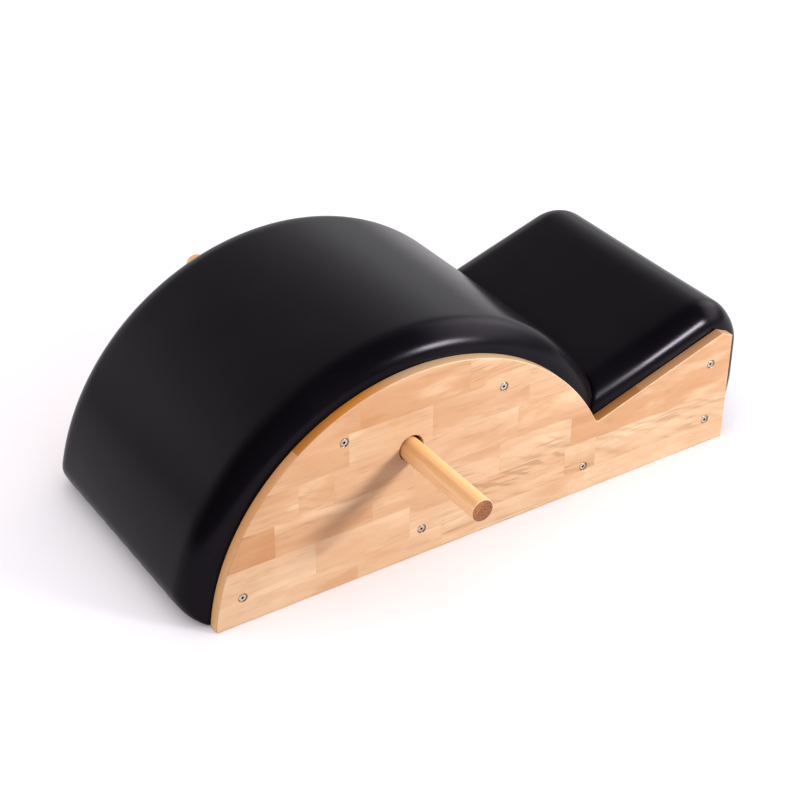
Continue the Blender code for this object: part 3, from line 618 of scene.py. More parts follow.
@dataclass(frozen=True)
class SoftwoodFinish(Finish):
    """Planed softwood whose grain runs along Y."""

    pale: tuple = (0.70, 0.49, 0.26, 1.0)
    late: tuple = (0.50, 0.28, 0.12, 1.0)

    def material(self, effects: EffectLibrary) -> Material:
        """Build the material.

        Args:
            effects: the shared effects.

        Returns:
            The new material.
        """
        material, sketch, shader = self.start()
        place = sketch.coordinates()
        parts = sketch.split(place)
        along = sketch.join(parts[1], parts[0], parts[2])
        fibre = self.effect(sketch, effects.fibre, Vector=along, Flame=0.8, Lines=0.9,
                            Pores=0.2)
        base = sketch.mix(sketch.ramp(fibre.outputs["Streak"], 0.1, 0.8), self.pale, self.late)
        sketch.feed(shader.inputs["Base Color"], base)
        self.bump(sketch, shader, fibre.outputs["Height"], 0.0001)
        return material


@dataclass(frozen=True)
class FoamFinish(Finish):
    """Cream upholstery foam with open cells."""

    colour: tuple = (0.74, 0.68, 0.48, 1.0)
    aged: tuple = (0.60, 0.50, 0.30, 1.0)

    def material(self, effects: EffectLibrary) -> Material:
        """Build the material.

        Args:
            effects: the shared effects.

        Returns:
            The new material.
        """
        material, sketch, shader = self.start()
        place = sketch.coordinates()
        wear = self.effect(sketch, effects.wear, Vector=place, Scale=1.0)
        base = sketch.tint(self.colour, self.aged, wear.outputs["Smudge"], 0.5)
        sketch.feed(shader.inputs["Base Color"], base)
        cells = sketch.add("ShaderNodeTexVoronoi", Vector=place, Scale=900.0).outputs["Distance"]
        self.bump(sketch, shader, cells, 0.0006)
        return material


@dataclass(frozen=True)
class MetalFinish(Finish):
    """Plated steel with fine turning marks.

    Args:
        colour: the clean plating.
        stained: the plating where it is smudged.
        grime: painted shade in the recesses, near black.
        recess: distance from the object's middle plane below which a surface is in a recess.
        recess_edge: depth over which the painted shade fades.
    """

    colour: tuple = (0.95, 0.83, 0.71, 1.0)
    stained: tuple = (0.48, 0.37, 0.28, 1.0)
    grime: tuple = (0.030, 0.022, 0.018, 1.0)
    recess: float = 0.2353
    recess_edge: float = 0.0011

    def material(self, effects: EffectLibrary) -> Material:
        """Build the material.

        Args:
            effects: the shared effects.

        Returns:
            The new material.
        """
        material, sketch, shader = self.start()
        shader.inputs["Metallic"].default_value = 1.0
        place = sketch.coordinates()
        wear = self.effect(sketch, effects.wear, Vector=place, Scale=14.0)
        base = sketch.tint(self.colour, self.stained, wear.outputs["Smudge"], 0.6)
        # Painted shade: every surface nearer the middle plane than the recess takes the near-black
        # colour. That covers the sockets, the gaps round the heads, and the whole of each staple
        # under the object.
        across = sketch.math("ABSOLUTE", sketch.split(place)[1])
        recess_shade_mask = sketch.ramp(across, self.recess, self.recess + self.recess_edge, 1.0, 0.0)
        base = sketch.mix(recess_shade_mask, base, self.grime)
        sketch.feed(shader.inputs["Base Color"], base)
        self.roughen(sketch, shader, wear.outputs["Speckle"], 0.2)
        marks = sketch.noise(place, 2600.0, 1.0)
        self.bump(sketch, shader, marks, 0.00002)
        return material


@dataclass(frozen=True)
class FloorFinish(Finish):
    """Matt white studio floor, which shows less bright in the leather's gloss."""

    colour: tuple = (0.950, 0.918, 0.952, 1.0)
    worn: tuple = (0.932, 0.903, 0.938, 1.0)
    mirrored: tuple = (0.60, 0.59, 0.60, 1.0)
    gloss: float = 0.1

    def material(self, effects: EffectLibrary) -> Material:
        """Build the material.

        Args:
            effects: the shared effects.

        Returns:
            The new material.
        """
        material, sketch, shader = self.start()
        place = sketch.coordinates()
        wear = self.effect(sketch, effects.wear, Vector=place, Scale=0.3)
        base = sketch.mix(wear.outputs["Smudge"], self.colour, self.worn)
        rays = sketch.add("ShaderNodeLightPath")
        base = sketch.mix(rays.outputs["Is Glossy Ray"], base, self.mirrored)
        sketch.feed(shader.inputs["Base Color"], base)
        shader.inputs["Specular IOR Level"].default_value = self.gloss
        return material


# Sizes that pieces share


@dataclass(frozen=True)
class Profile:
    """The object's side profile, in metres, with the barrel's centre as its reference."""

    barrel_x: float = -0.119167431
    centre_z: float = -0.030
    panel_radius: float = 0.344
    valley_angle: float = math.radians(25.52)
    slope: float = math.radians(18.1)
    step_reach: float = 0.572
    barrel_pad: float = 0.041
    step_pad: float = 0.0393
    end_pad: float = 0.0435
    floor_gap: float = 0.002
    side_y: float = 0.2192
    half_width: float = 0.2375
    thickness: float = 0.018
    stave_height: float = 0.0535
    handle_shift: float = -0.024
    handle_z: float = 0.1906
    handle_hole_z: float = 0.1933

    @property
    def handle_x(self) -> float:
        """Return the handle's place along the object."""
        return self.barrel_x + self.handle_shift

    @property
    def centre(self) -> Vector:
        """Return the barrel's centre in the XZ plane."""
        return Vector((self.barrel_x, self.centre_z))

    @property
    def barrel_normal(self) -> Vector:
        """Return the direction from the barrel's centre to the valley."""
        return Vector((math.cos(self.valley_angle), math.sin(self.valley_angle)))

    @property
    def valley(self) -> Vector:
        """Return the corner where the panels' arc and slope meet."""
        return self.centre + self.barrel_normal * self.panel_radius

    @property
    def run(self) -> Vector:
        """Return the direction up the step's slope."""
        return Vector((math.cos(self.slope), math.sin(self.slope)))

    @property
    def rise(self) -> Vector:
        """Return the direction out of the step's slope."""
        return Vector((-math.sin(self.slope), math.cos(self.slope)))

    @property
    def seam_up(self) -> Vector:
        """Return the direction up the seam between the two pads."""
        return (self.barrel_normal + self.rise).normalized()

    @property
    def seam_left(self) -> Vector:
        """Return the direction out of the seam, towards the barrel."""
        return Vector((-self.seam_up.y, self.seam_up.x))

    @property
    def panel_end_x(self) -> float:
        """Return where the panels end at the step."""
        return self.barrel_x + self.step_reach

    def slope_point(self, depth: float, x: float) -> Vector:
        """Return the point at x on the line depth below the panels' slope."""
        start = self.valley - depth * self.rise
        return start + self.run * ((x - start.x) / self.run.x)


# The object's materials


class Finishes:
    """Every material of the object, made once."""

    def __init__(self, profile: Profile) -> None:
        """Make the materials.

        Args:
            profile: the object's side profile.
        """
        effects = EffectLibrary()
        self.staves = StaveFinish("rubberwood_staves", 0.42,
                                  stave_height=profile.stave_height).material(effects)
        self.rod = RoundWoodFinish("handle_wood", 0.5, axis_x=profile.handle_x,
                                   axis_z=profile.handle_z).material(effects)
        self.leather = LeatherFinish("black_leather", 0.20).material(effects)
        self.rib_ply = PlywoodFinish("rib_plywood", 0.75, thickness_axis=1).material(effects)
        self.board_ply = PlywoodFinish("board_plywood", 0.75, thickness_axis=2).material(effects)
        self.end_ply = PlywoodFinish("end_plywood", 0.75, thickness_axis=0).material(effects)
        self.softwood = SoftwoodFinish("rail_softwood", 0.7).material(effects)
        self.foam = FoamFinish("cream_foam", 0.95).material(effects)
        self.bolt = MetalFinish("bolt_steel", 0.26).material(effects)
        self.cup = MetalFinish("cup_steel", 0.38, colour=(0.60, 0.45, 0.35, 1.0),
                               stained=(0.36, 0.24, 0.18, 1.0)).material(effects)
        self.staple = MetalFinish("staple_wire", 0.3).material(effects)
        self.floor = FloorFinish("studio_floor", 0.9).material(effects)


# Paths in the XZ plane, and grids of values


def meet(point: Vector, run: Vector, other: Vector, other_run: Vector) -> Vector:
    """Return where two lines in the XZ plane cross."""
    across = Vector((-other_run.y, other_run.x))
    return point + run * ((other - point).dot(across) / run.dot(across))


def arc(centre: Vector, start: Vector, end: Vector, steps: int) -> list[Vector]:
    """Draw the shorter arc about a centre.

    Args:
        centre: its centre.
        start: its first point.
        end: a point in its last point's direction.
        steps: straight pieces in it.

    Returns:
        Its points, both ends included.
    """
    radius = (start - centre).length
    first = math.atan2(start.y - centre.y, start.x - centre.x)
    last = math.atan2(end.y - centre.y, end.x - centre.x)
    turn = (last - first + math.pi) % (2 * math.pi) - math.pi
    return [centre + radius * Vector((math.cos(first + turn * i / steps),
                                      math.sin(first + turn * i / steps)))
            for i in range(steps + 1)]


def fillet(before: Vector, corner: Vector, after: Vector, radius: float,
           steps: int) -> list[Vector]:
    """Round a corner between two straight stretches.

    Args:
        before: a point on the first stretch.
        corner: the sharp corner.
        after: a point on the second stretch.
        radius: the rounding.
        steps: straight pieces in it.

    Returns:
        The rounding's points.
    """
    back = (before - corner).normalized()
    onward = (after - corner).normalized()
    half = math.acos(max(-1.0, min(1.0, back.dot(onward)))) / 2
    reach = radius / math.tan(half)
    centre = corner + (back + onward).normalized() * (radius / math.sin(half))
    return arc(centre, corner + back * reach, corner + onward * reach, steps)


def spread(points: list[Vector], count: int) -> np.ndarray:
    """Space points evenly along a path in the XZ plane.

    Args:
        points: the path's corners.
        count: how many points to lay.

    Returns:
        An array with x and z for each point.
    """
    path = np.array([(p.x, p.y) for p in points])
    lengths = np.concatenate([[0.0], np.cumsum(np.linalg.norm(np.diff(path, axis=0), axis=1))])
    at = np.linspace(0.0, lengths[-1], count)
    return np.stack([np.interp(at, lengths, path[:, k]) for k in range(2)], axis=1)


def smooth_step(low: float, high: float, value: np.ndarray) -> np.ndarray:
    """Return a smooth 0 to 1 step between two values."""
    share = np.clip((value - low) / (high - low), 0.0, 1.0)
    return share * share * (3.0 - 2.0 * share)


def blurred(values: np.ndarray, passes: int) -> np.ndarray:
    """Average each value of a grid with its neighbours.

    Args:
        values: the grid.
        passes: how many times.

    Returns:
        The blurred grid.
    """
    for _ in range(passes):
        wide = np.pad(values, 1, mode="edge")
        values = (4.0 * values + wide[:-2, 1:-1] + wide[2:, 1:-1] + wide[1:-1, :-2]
                  + wide[1:-1, 2:]) / 8.0
    return values


# Meshes


def add_object(name: str, data: bpy.types.ID) -> Object:
    """Add an object to the scene.

    Args:
        name: its name.
        data: its mesh, curve, light or camera.

    Returns:
        The new object.
    """
    obj = bpy.data.objects.new(name, data)
    bpy.context.scene.collection.objects.link(obj)
    return obj


@contextmanager
def edited(mesh: Mesh) -> Iterator[bmesh.types.BMesh]:
    """Give a mesh as a BMesh to change, and write it back at the end.

    Args:
        mesh: the mesh, changed in place.

    Yields:
        The BMesh.
    """
    work = bmesh.new()
    work.from_mesh(mesh)
    yield work
    work.to_mesh(mesh)
    work.free()


def link(name: str, mesh: Mesh, material: Material | None = None,
         smooth_angle: float | None = 40.0) -> Object:
    """Add an object for a mesh.

    Args:
        name: the piece's name.
        mesh: its mesh, already in place.
        material: its finish.
        smooth_angle: degrees under which faces are shaded smooth, or None for flat.

    Returns:
        The new object.
    """
    obj = add_object(name, mesh)
    if material:
        mesh.materials.clear()
        mesh.materials.append(material)
    if smooth_angle is not None:
        mesh.shade_smooth()
        mesh.set_sharp_from_angle(angle=math.radians(smooth_angle))
    return obj


def finished_mesh(obj: Object) -> Mesh:
    """Put an object's modifiers and place into its mesh, and remove the object.

    Args:
        obj: the object.

    Returns:
        The evaluated mesh in world space.
    """
    bpy.context.view_layer.update()
    evaluated = obj.evaluated_get(bpy.context.evaluated_depsgraph_get())
    mesh = bpy.data.meshes.new_from_object(evaluated)
    mesh.transform(obj.matrix_world)
    bpy.data.objects.remove(obj, do_unlink=True)
    return mesh


def turned_mesh(name: str, profile: Sequence[tuple[float, float]], steps: int,
                closed: bool = False) -> Mesh:
    """Return a profile of (radius, height) points turned about Z.

    Args:
        name: the mesh's name.
        profile: the points, down the outer side.
        steps: faces round the axis.
        closed: whether the profile's ends join.

    Returns:
        The turned mesh, welded and facing outwards.
    """
    mesh = bpy.data.meshes.new(name)
    edges = [(i, i + 1) for i in range(len(profile) - 1)]
    if closed:
        edges.append((len(profile) - 1, 0))
    mesh.from_pydata([(radius, 0.0, height) for radius, height in profile], edges, [])
    obj = link(name, mesh, None, None)
    screw = obj.modifiers.new("turn", "SCREW")
    screw.steps = steps
    screw.render_steps = steps
    screw.use_merge_vertices = True
    screw.merge_threshold = WELD
    result = finished_mesh(obj)
    with edited(result) as work:
        bmesh.ops.remove_doubles(work, verts=work.verts, dist=WELD)
        bmesh.ops.recalc_face_normals(work, faces=work.faces)
    return result


def quarter_round(radius: float, height: float, rounding: float, steps: int,
                  side: int = 1) -> list[tuple[float, float]]:
    """Return (radius, height) points that round a turned edge, from its flat to its wall.

    Args:
        radius: the wall's radius.
        height: the flat's height.
        rounding: the edge's rounding.
        steps: straight pieces in the rounding.
        side: 1 for a rod's outer edge, -1 for the mouth of a hole.

    Returns:
        The points, one more than the straight pieces.
    """
    angles = [math.pi / 2 * i / steps for i in range(steps + 1)]
    return [(radius - side * rounding * (1 - math.sin(angle)),
             height - rounding * (1 - math.cos(angle))) for angle in angles]


def cut_out(target: Object, cutters: list[Object]) -> Mesh:
    """Cut objects out of a target, and remove them all.

    Args:
        target: the object to cut.
        cutters: the objects to cut away.

    Returns:
        The mesh that is left.
    """
    for cutter in cutters:
        boolean = target.modifiers.new("cut", "BOOLEAN")
        boolean.operation = "DIFFERENCE"
        boolean.solver = "EXACT"
        boolean.object = cutter
    mesh = finished_mesh(target)
    for cutter in cutters:
        bpy.data.objects.remove(cutter, do_unlink=True)
    return mesh


@dataclass
class RepeatTree:
    """Geometry Nodes that set a template on every point, each facing its own way.

    Args:
        seed: fixes each copy's own spin.
    """

    name: str
    seed: int = 4
    tree: NodeTree = field(init=False)
    sockets: dict[str, str] = field(init=False)

    def __post_init__(self) -> None:
        """Build the tree."""
        self.tree = bpy.data.node_groups.new(self.name, "GeometryNodeTree")
        self.sockets = {}
        for name, kind, way in (("Geometry", "NodeSocketGeometry", "OUTPUT"),
                                ("Geometry", "NodeSocketGeometry", "INPUT"),
                                ("Template", "NodeSocketObject", "INPUT"),
                                ("Spin", "NodeSocketFloat", "INPUT"),
                                ("Seed", "NodeSocketInt", "INPUT"),
                                ("Finish", "NodeSocketMaterial", "INPUT")):
            socket = self.tree.interface.new_socket(name=name, in_out=way, socket_type=kind)
            if way == "INPUT":
                self.sockets[name] = socket.identifier
        sketch = NodeSketch(self.tree)
        source = sketch.add("NodeGroupInput")
        facing = sketch.add("GeometryNodeInputNamedAttribute", {"data_type": "FLOAT_VECTOR"},
                            Name="facing")
        aligned = sketch.add("FunctionNodeAlignRotationToVector", {"axis": "Z"},
                             Vector=facing.outputs["Attribute"])
        spin = sketch.add("FunctionNodeRandomValue", {"data_type": "FLOAT"})
        sketch.feed(spin.inputs[3], source.outputs["Spin"])
        sketch.feed(spin.inputs["Seed"], source.outputs["Seed"])
        turn = sketch.add("FunctionNodeAxisAngleToRotation", Axis=(0.0, 0.0, 1.0),
                          Angle=spin.outputs[1])
        turned = sketch.add("FunctionNodeRotateRotation", {"rotation_space": "LOCAL"},
                            Rotation=aligned.outputs[0], Rotate_By=turn.outputs[0])
        template = sketch.add("GeometryNodeObjectInfo", Object=source.outputs["Template"])
        copies = sketch.add("GeometryNodeInstanceOnPoints", Points=source.outputs["Geometry"],
                            Instance=template.outputs["Geometry"], Rotation=turned.outputs[0])
        real = sketch.add("GeometryNodeRealizeInstances", Geometry=copies.outputs[0])
        dressed = sketch.add("GeometryNodeSetMaterial", Geometry=real.outputs[0],
                             Material=source.outputs["Finish"])
        sink = sketch.add("NodeGroupOutput")
        sketch.feed(sink.inputs[0], dressed.outputs[0])

    def place(self, name: str, template: Mesh, places: list[tuple[Vector, Vector]],
              material: Material, spin: float = 0.0) -> Object:
        """Set a template on each place.

        Args:
            name: the finished piece's name.
            template: the mesh to repeat, its outward side at +Z.
            places: each copy's point and outward direction.
            material: the copies' finish.
            spin: the largest random turn of a copy, in radians.

        Returns:
            One plain object with every copy.
        """
        points = bpy.data.meshes.new(name)
        points.from_pydata([tuple(point) for point, _ in places], [], [])
        facing = points.attributes.new("facing", "FLOAT_VECTOR", "POINT")
        for item, (_, direction) in zip(facing.data, places):
            item.vector = direction
        holder = link(name + "_points", points, None, None)
        pattern = link(name + "_template", template, None, None)
        template.shade_smooth()
        template.set_sharp_from_angle(angle=math.radians(35))
        modifier = holder.modifiers.new("repeat", "NODES")
        modifier.node_group = self.tree
        for socket, value in (("Template", pattern), ("Spin", spin), ("Seed", self.seed),
                              ("Finish", material)):
            modifier[self.sockets[socket]] = value
        mesh = finished_mesh(holder)
        bpy.data.objects.remove(pattern, do_unlink=True)
        return add_object(name, mesh)


# Side panels


class Tone(Enum):
    """How dark a stave is, from the palest to the brownest."""

    PALE = 0.0
    STRAW = 0.20
    HONEY = 0.40
    WARM = 0.60
    TAWNY = 0.72
    BROWN = 1.0


class Grain(Enum):
    """What runs along a stave: little, dark lines, a faint figure or a flame figure."""

    PLAIN = 0.0
    LINED = 0.5
    FIGURED = 0.75
    FLAMED = 1.0


class Rim(Enum):
    """Colours of the panels' sawn rim, which changes from board to board, with painted light where
    it is pale low on the barrel and painted shade where it is dark along the slope.
    """

    PALE = (0.70, 0.39, 0.17)
    AMBER = (0.66, 0.31, 0.12)
    BROWN = (0.48, 0.165, 0.015)
    PLAIN = (0.37, 0.23, 0.125)
    TAN = (0.33, 0.155, 0.065)
    DARK = (0.26, 0.10, 0.025)


@dataclass
class SidePanel:
    """A side panel of edge-glued staves with rounded edges and drilled holes.

    Args:
        side: which panel it is.
        rows: for each row of staves from the floor up, where each stave ends, its tone and its
            grain.
        rim: the sawn rim's colour at places along the panel, its painted light and shade included.
        first_row_top: height of the lowest glue line.
        rows_start: x before every panel, where each row's first stave begins.
        seed_steps: how a stave's seed grows with its row, its number in the row and its panel.
        seed_range: where the seeds start again.
        rim_normal: a face whose normal's Y is below this lies on the rim.
        hole_ease: rounding at the mouths of the handle's hole, and cup_ease at a washer's.
        cutter_past: how far a hole's cutter stands past both faces.
    """

    profile: Profile
    side: Side
    rows: list[list[tuple[float, Tone, Grain]]]
    rim: list[tuple[float, Rim]]
    first_row_top: float = 0.0385
    rows_start: float = -0.6
    seed_steps: tuple[float, float, float] = (1.37, 2.91, 0.77)
    seed_range: float = 9.0
    rim_normal: float = 0.3
    edge_round: float = 0.002
    toe_round: float = 0.005
    valley_round: float = 0.006
    valley_clear: float = 1.2
    chamfer_run: float = 0.0215
    chamfer_drop: float = 0.0165
    hole_radius: float = 0.020
    hole_ease: float = 0.0012
    cup_radius: float = 0.0075
    cup_ease: float = 0.0003
    cutter_past: float = 0.004
    corner_steps: int = 6
    arc_steps: int = 220
    mouth_steps: int = 4
    hole_steps: int = 72
    cup_steps: int = 28
    smooth_angle: float = 32.0

    @property
    def middle_y(self) -> float:
        """Return the Y of the panel's middle plane."""
        return self.side.value * (self.profile.half_width - self.profile.thickness / 2)

    def outline(self) -> list[Vector]:
        """Draw the panel's outline in the XZ plane.

        Returns:
            Its points, from the barrel's foot over the top to the step's end.
        """
        shape = self.profile
        reach = shape.panel_radius - self.toe_round
        rise = self.toe_round - shape.centre_z
        toe_centre = Vector((shape.barrel_x - math.sqrt(reach ** 2 - rise ** 2), self.toe_round))
        touch = shape.centre + (toe_centre - shape.centre) * (shape.panel_radius / reach)
        toe = arc(toe_centre, toe_centre - Vector((0.0, self.toe_round)), touch,
                  self.corner_steps)
        up_the_barrel = Vector((-shape.barrel_normal.y, shape.barrel_normal.x))
        valley = fillet(shape.valley + up_the_barrel, shape.valley, shape.valley + shape.run,
                        self.valley_round, self.corner_steps)
        curve = [p for p in arc(shape.centre, touch, shape.valley, self.arc_steps)
                 if (p - shape.valley).length > self.valley_round * self.valley_clear]
        end_x = shape.panel_end_x
        foot = shape.slope_point(0.0, end_x) - Vector((0.0, self.chamfer_drop))
        return toe + curve[1:] + valley + [shape.slope_point(0.0, end_x - self.chamfer_run), foot,
                                           Vector((end_x, 0.0))]

    def blank(self) -> Object:
        """Build the panel before its holes, with rounded edges.

        Returns:
            The blank.
        """
        curve = bpy.data.curves.new(self.side.word + "_panel", "CURVE")
        curve.dimensions = "2D"
        curve.fill_mode = "BOTH"
        curve.extrude = self.profile.thickness / 2 - self.edge_round
        curve.bevel_depth = self.edge_round
        curve.bevel_resolution = 3
        curve.offset = -self.edge_round
        spline = curve.splines.new("POLY")
        outline = self.outline()
        spline.points.add(len(outline) - 1)
        for point, corner in zip(spline.points, outline):
            point.co = (corner.x, corner.y, 0.0, 1.0)
        spline.use_cyclic_u = True
        flat = add_object(curve.name, curve)
        flat.location = (0.0, self.middle_y, 0.0)
        flat.rotation_euler = (math.pi / 2, 0.0, 0.0)
        mesh = finished_mesh(flat)
        with edited(mesh) as work:
            bmesh.ops.remove_doubles(work, verts=work.verts, dist=10 * WELD)
            for vert in work.verts:
                vert.co.z = max(vert.co.z, 0.0)
            bmesh.ops.recalc_face_normals(work, faces=work.faces)
        return link(curve.name, mesh, None, None)

    def hole(self, x: float, z: float, radius: float, ease: float, steps: int) -> Object:
        """Make a cutter for a hole right through, eased at both mouths.

        Args:
            x: its place along the panel.
            z: its height.
            radius: its radius.
            ease: the mouths' rounding.
            steps: faces round it.

        Returns:
            The cutter.
        """
        half = self.profile.thickness / 2
        past = self.cutter_past
        profile = [(0.0, half + past), (radius + ease + past, half + past),
                   *quarter_round(radius, half, ease, self.mouth_steps, -1)]
        profile += [(r, -h) for r, h in reversed(profile)]
        cutter = link("hole", turned_mesh("hole", profile, steps), None, None)
        cutter.data.transform(Matrix.Translation((x, self.middle_y, z)) @ ACROSS)
        return cutter

    @staticmethod
    def split(work: bmesh.types.BMesh, faces: list[bmesh.types.BMFace],
              point: tuple[float, float, float], normal: tuple[float, float, float]) -> None:
        """Split faces by a plane.

        Args:
            work: the faces' mesh.
            faces: the faces to split.
            point: a point on the plane.
            normal: its normal.
        """
        verts = dict.fromkeys(v for f in faces for v in f.verts)
        edges = dict.fromkeys(e for f in faces for e in f.edges)
        bmesh.ops.bisect_plane(work, geom=[*verts, *edges, *faces], plane_co=point,
                               plane_no=normal, dist=WELD / 10)

    def stave_at(self, x: float, z: float) -> tuple[int, int, float]:
        """Find the stave at a place.

        Args:
            x: the place along the panel.
            z: its height.

        Returns:
            The row, the stave's number in it and where that stave starts.
        """
        index = int((z - self.first_row_top) / self.profile.stave_height + 1)
        index = min(max(index, 0), len(self.rows) - 1)
        ends = [end for end, _, _ in self.rows[index][:-1]]
        number = sum(x >= end for end in ends)
        return index, number, [self.rows_start, *ends][number]

    def stave_faces(self, mesh: Mesh) -> None:
        """Split the faces at every glue line and mark each with its stave.

        Args:
            mesh: the panel's mesh, changed in place.
        """
        height = self.profile.stave_height
        tops = [self.first_row_top + height * i for i in range(len(self.rows))]
        bottoms = [self.first_row_top - height, *tops[:-1]]
        with edited(mesh) as work:
            for top in tops[:-1]:
                self.split(work, list(work.faces), (0.0, 0.0, top), (0.0, 0.0, 1.0))
            for bottom, top, row in zip(bottoms, tops, self.rows):
                for end, _, _ in row[:-1]:
                    faces = [f for f in work.faces if bottom < f.calc_center_bounds().z < top]
                    self.split(work, faces, (end, 0.0, 0.0), (1.0, 0.0, 0.0))
            self.mark_staves(work, bottoms)

    def mark_staves(self, work: bmesh.types.BMesh, bottoms: list[float]) -> None:
        """Give every face its stave's coordinates and values, and the rim its colour.

        Args:
            work: the panel's mesh, split at its glue lines.
            bottoms: height of each row's lower edge.
        """
        uv = work.loops.layers.uv.new("stave")
        layers = {name: work.faces.layers.float.new("stave_" + name)
                  for name in ("seed", "tone", "grain", "run")}
        rim_layer = work.faces.layers.float_color.new("stave_rim")
        rim_x = [x for x, _ in self.rim]
        channels = list(zip(*(rim.value for _, rim in self.rim)))
        row_step, stave_step, side_step = self.seed_steps
        for face in work.faces:
            centre = face.calc_center_bounds()
            index, number, start = self.stave_at(centre.x, centre.z)
            end, tone, grain = self.rows[index][number]
            seed = index * row_step + number * stave_step + (self.side.value + 1) * side_step
            values = {"seed": seed % self.seed_range, "tone": tone.value, "grain": grain.value,
                      "run": end - start}
            for name, value in values.items():
                face[layers[name]] = value
            colour = (np.interp(centre.x, rim_x, channel) for channel in channels)
            face[rim_layer] = (*colour, float(abs(face.normal.y) < self.rim_normal))
            for loop in face.loops:
                loop[uv].uv = (loop.vert.co.x - start, loop.vert.co.z - bottoms[index])

    def build(self, bolts: list[tuple[float, float]],
              material: Material) -> Object:
        """Build the panel and let it stand for its node.

        Args:
            bolts: x and z of each bolt.
            material: the stave finish.

        Returns:
            The finished panel.
        """
        cutters = [self.hole(self.profile.handle_x, self.profile.handle_hole_z, self.hole_radius,
                             self.hole_ease, self.hole_steps)]
        cutters += [self.hole(x, z, self.cup_radius, self.cup_ease, self.cup_steps)
                    for x, z in bolts]
        mesh = cut_out(self.blank(), cutters)
        self.stave_faces(mesh)
        piece = link(self.side.word + "_panel_staves", mesh, material, self.smooth_angle)
        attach(piece, BODY)
        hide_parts(self.side.word + "_side_panel")
        LOG.info("%s: %d faces", piece.name, len(mesh.polygons))
        return piece


# Upholstery


CLOTH_SETTINGS = {
    "quality": 5, "mass": 0.25, "tension_stiffness": 60.0, "compression_stiffness": 60.0,
    "shear_stiffness": 30.0, "bending_stiffness": 12.0, "use_pressure": True,
    "uniform_pressure_force": 3.0,
}


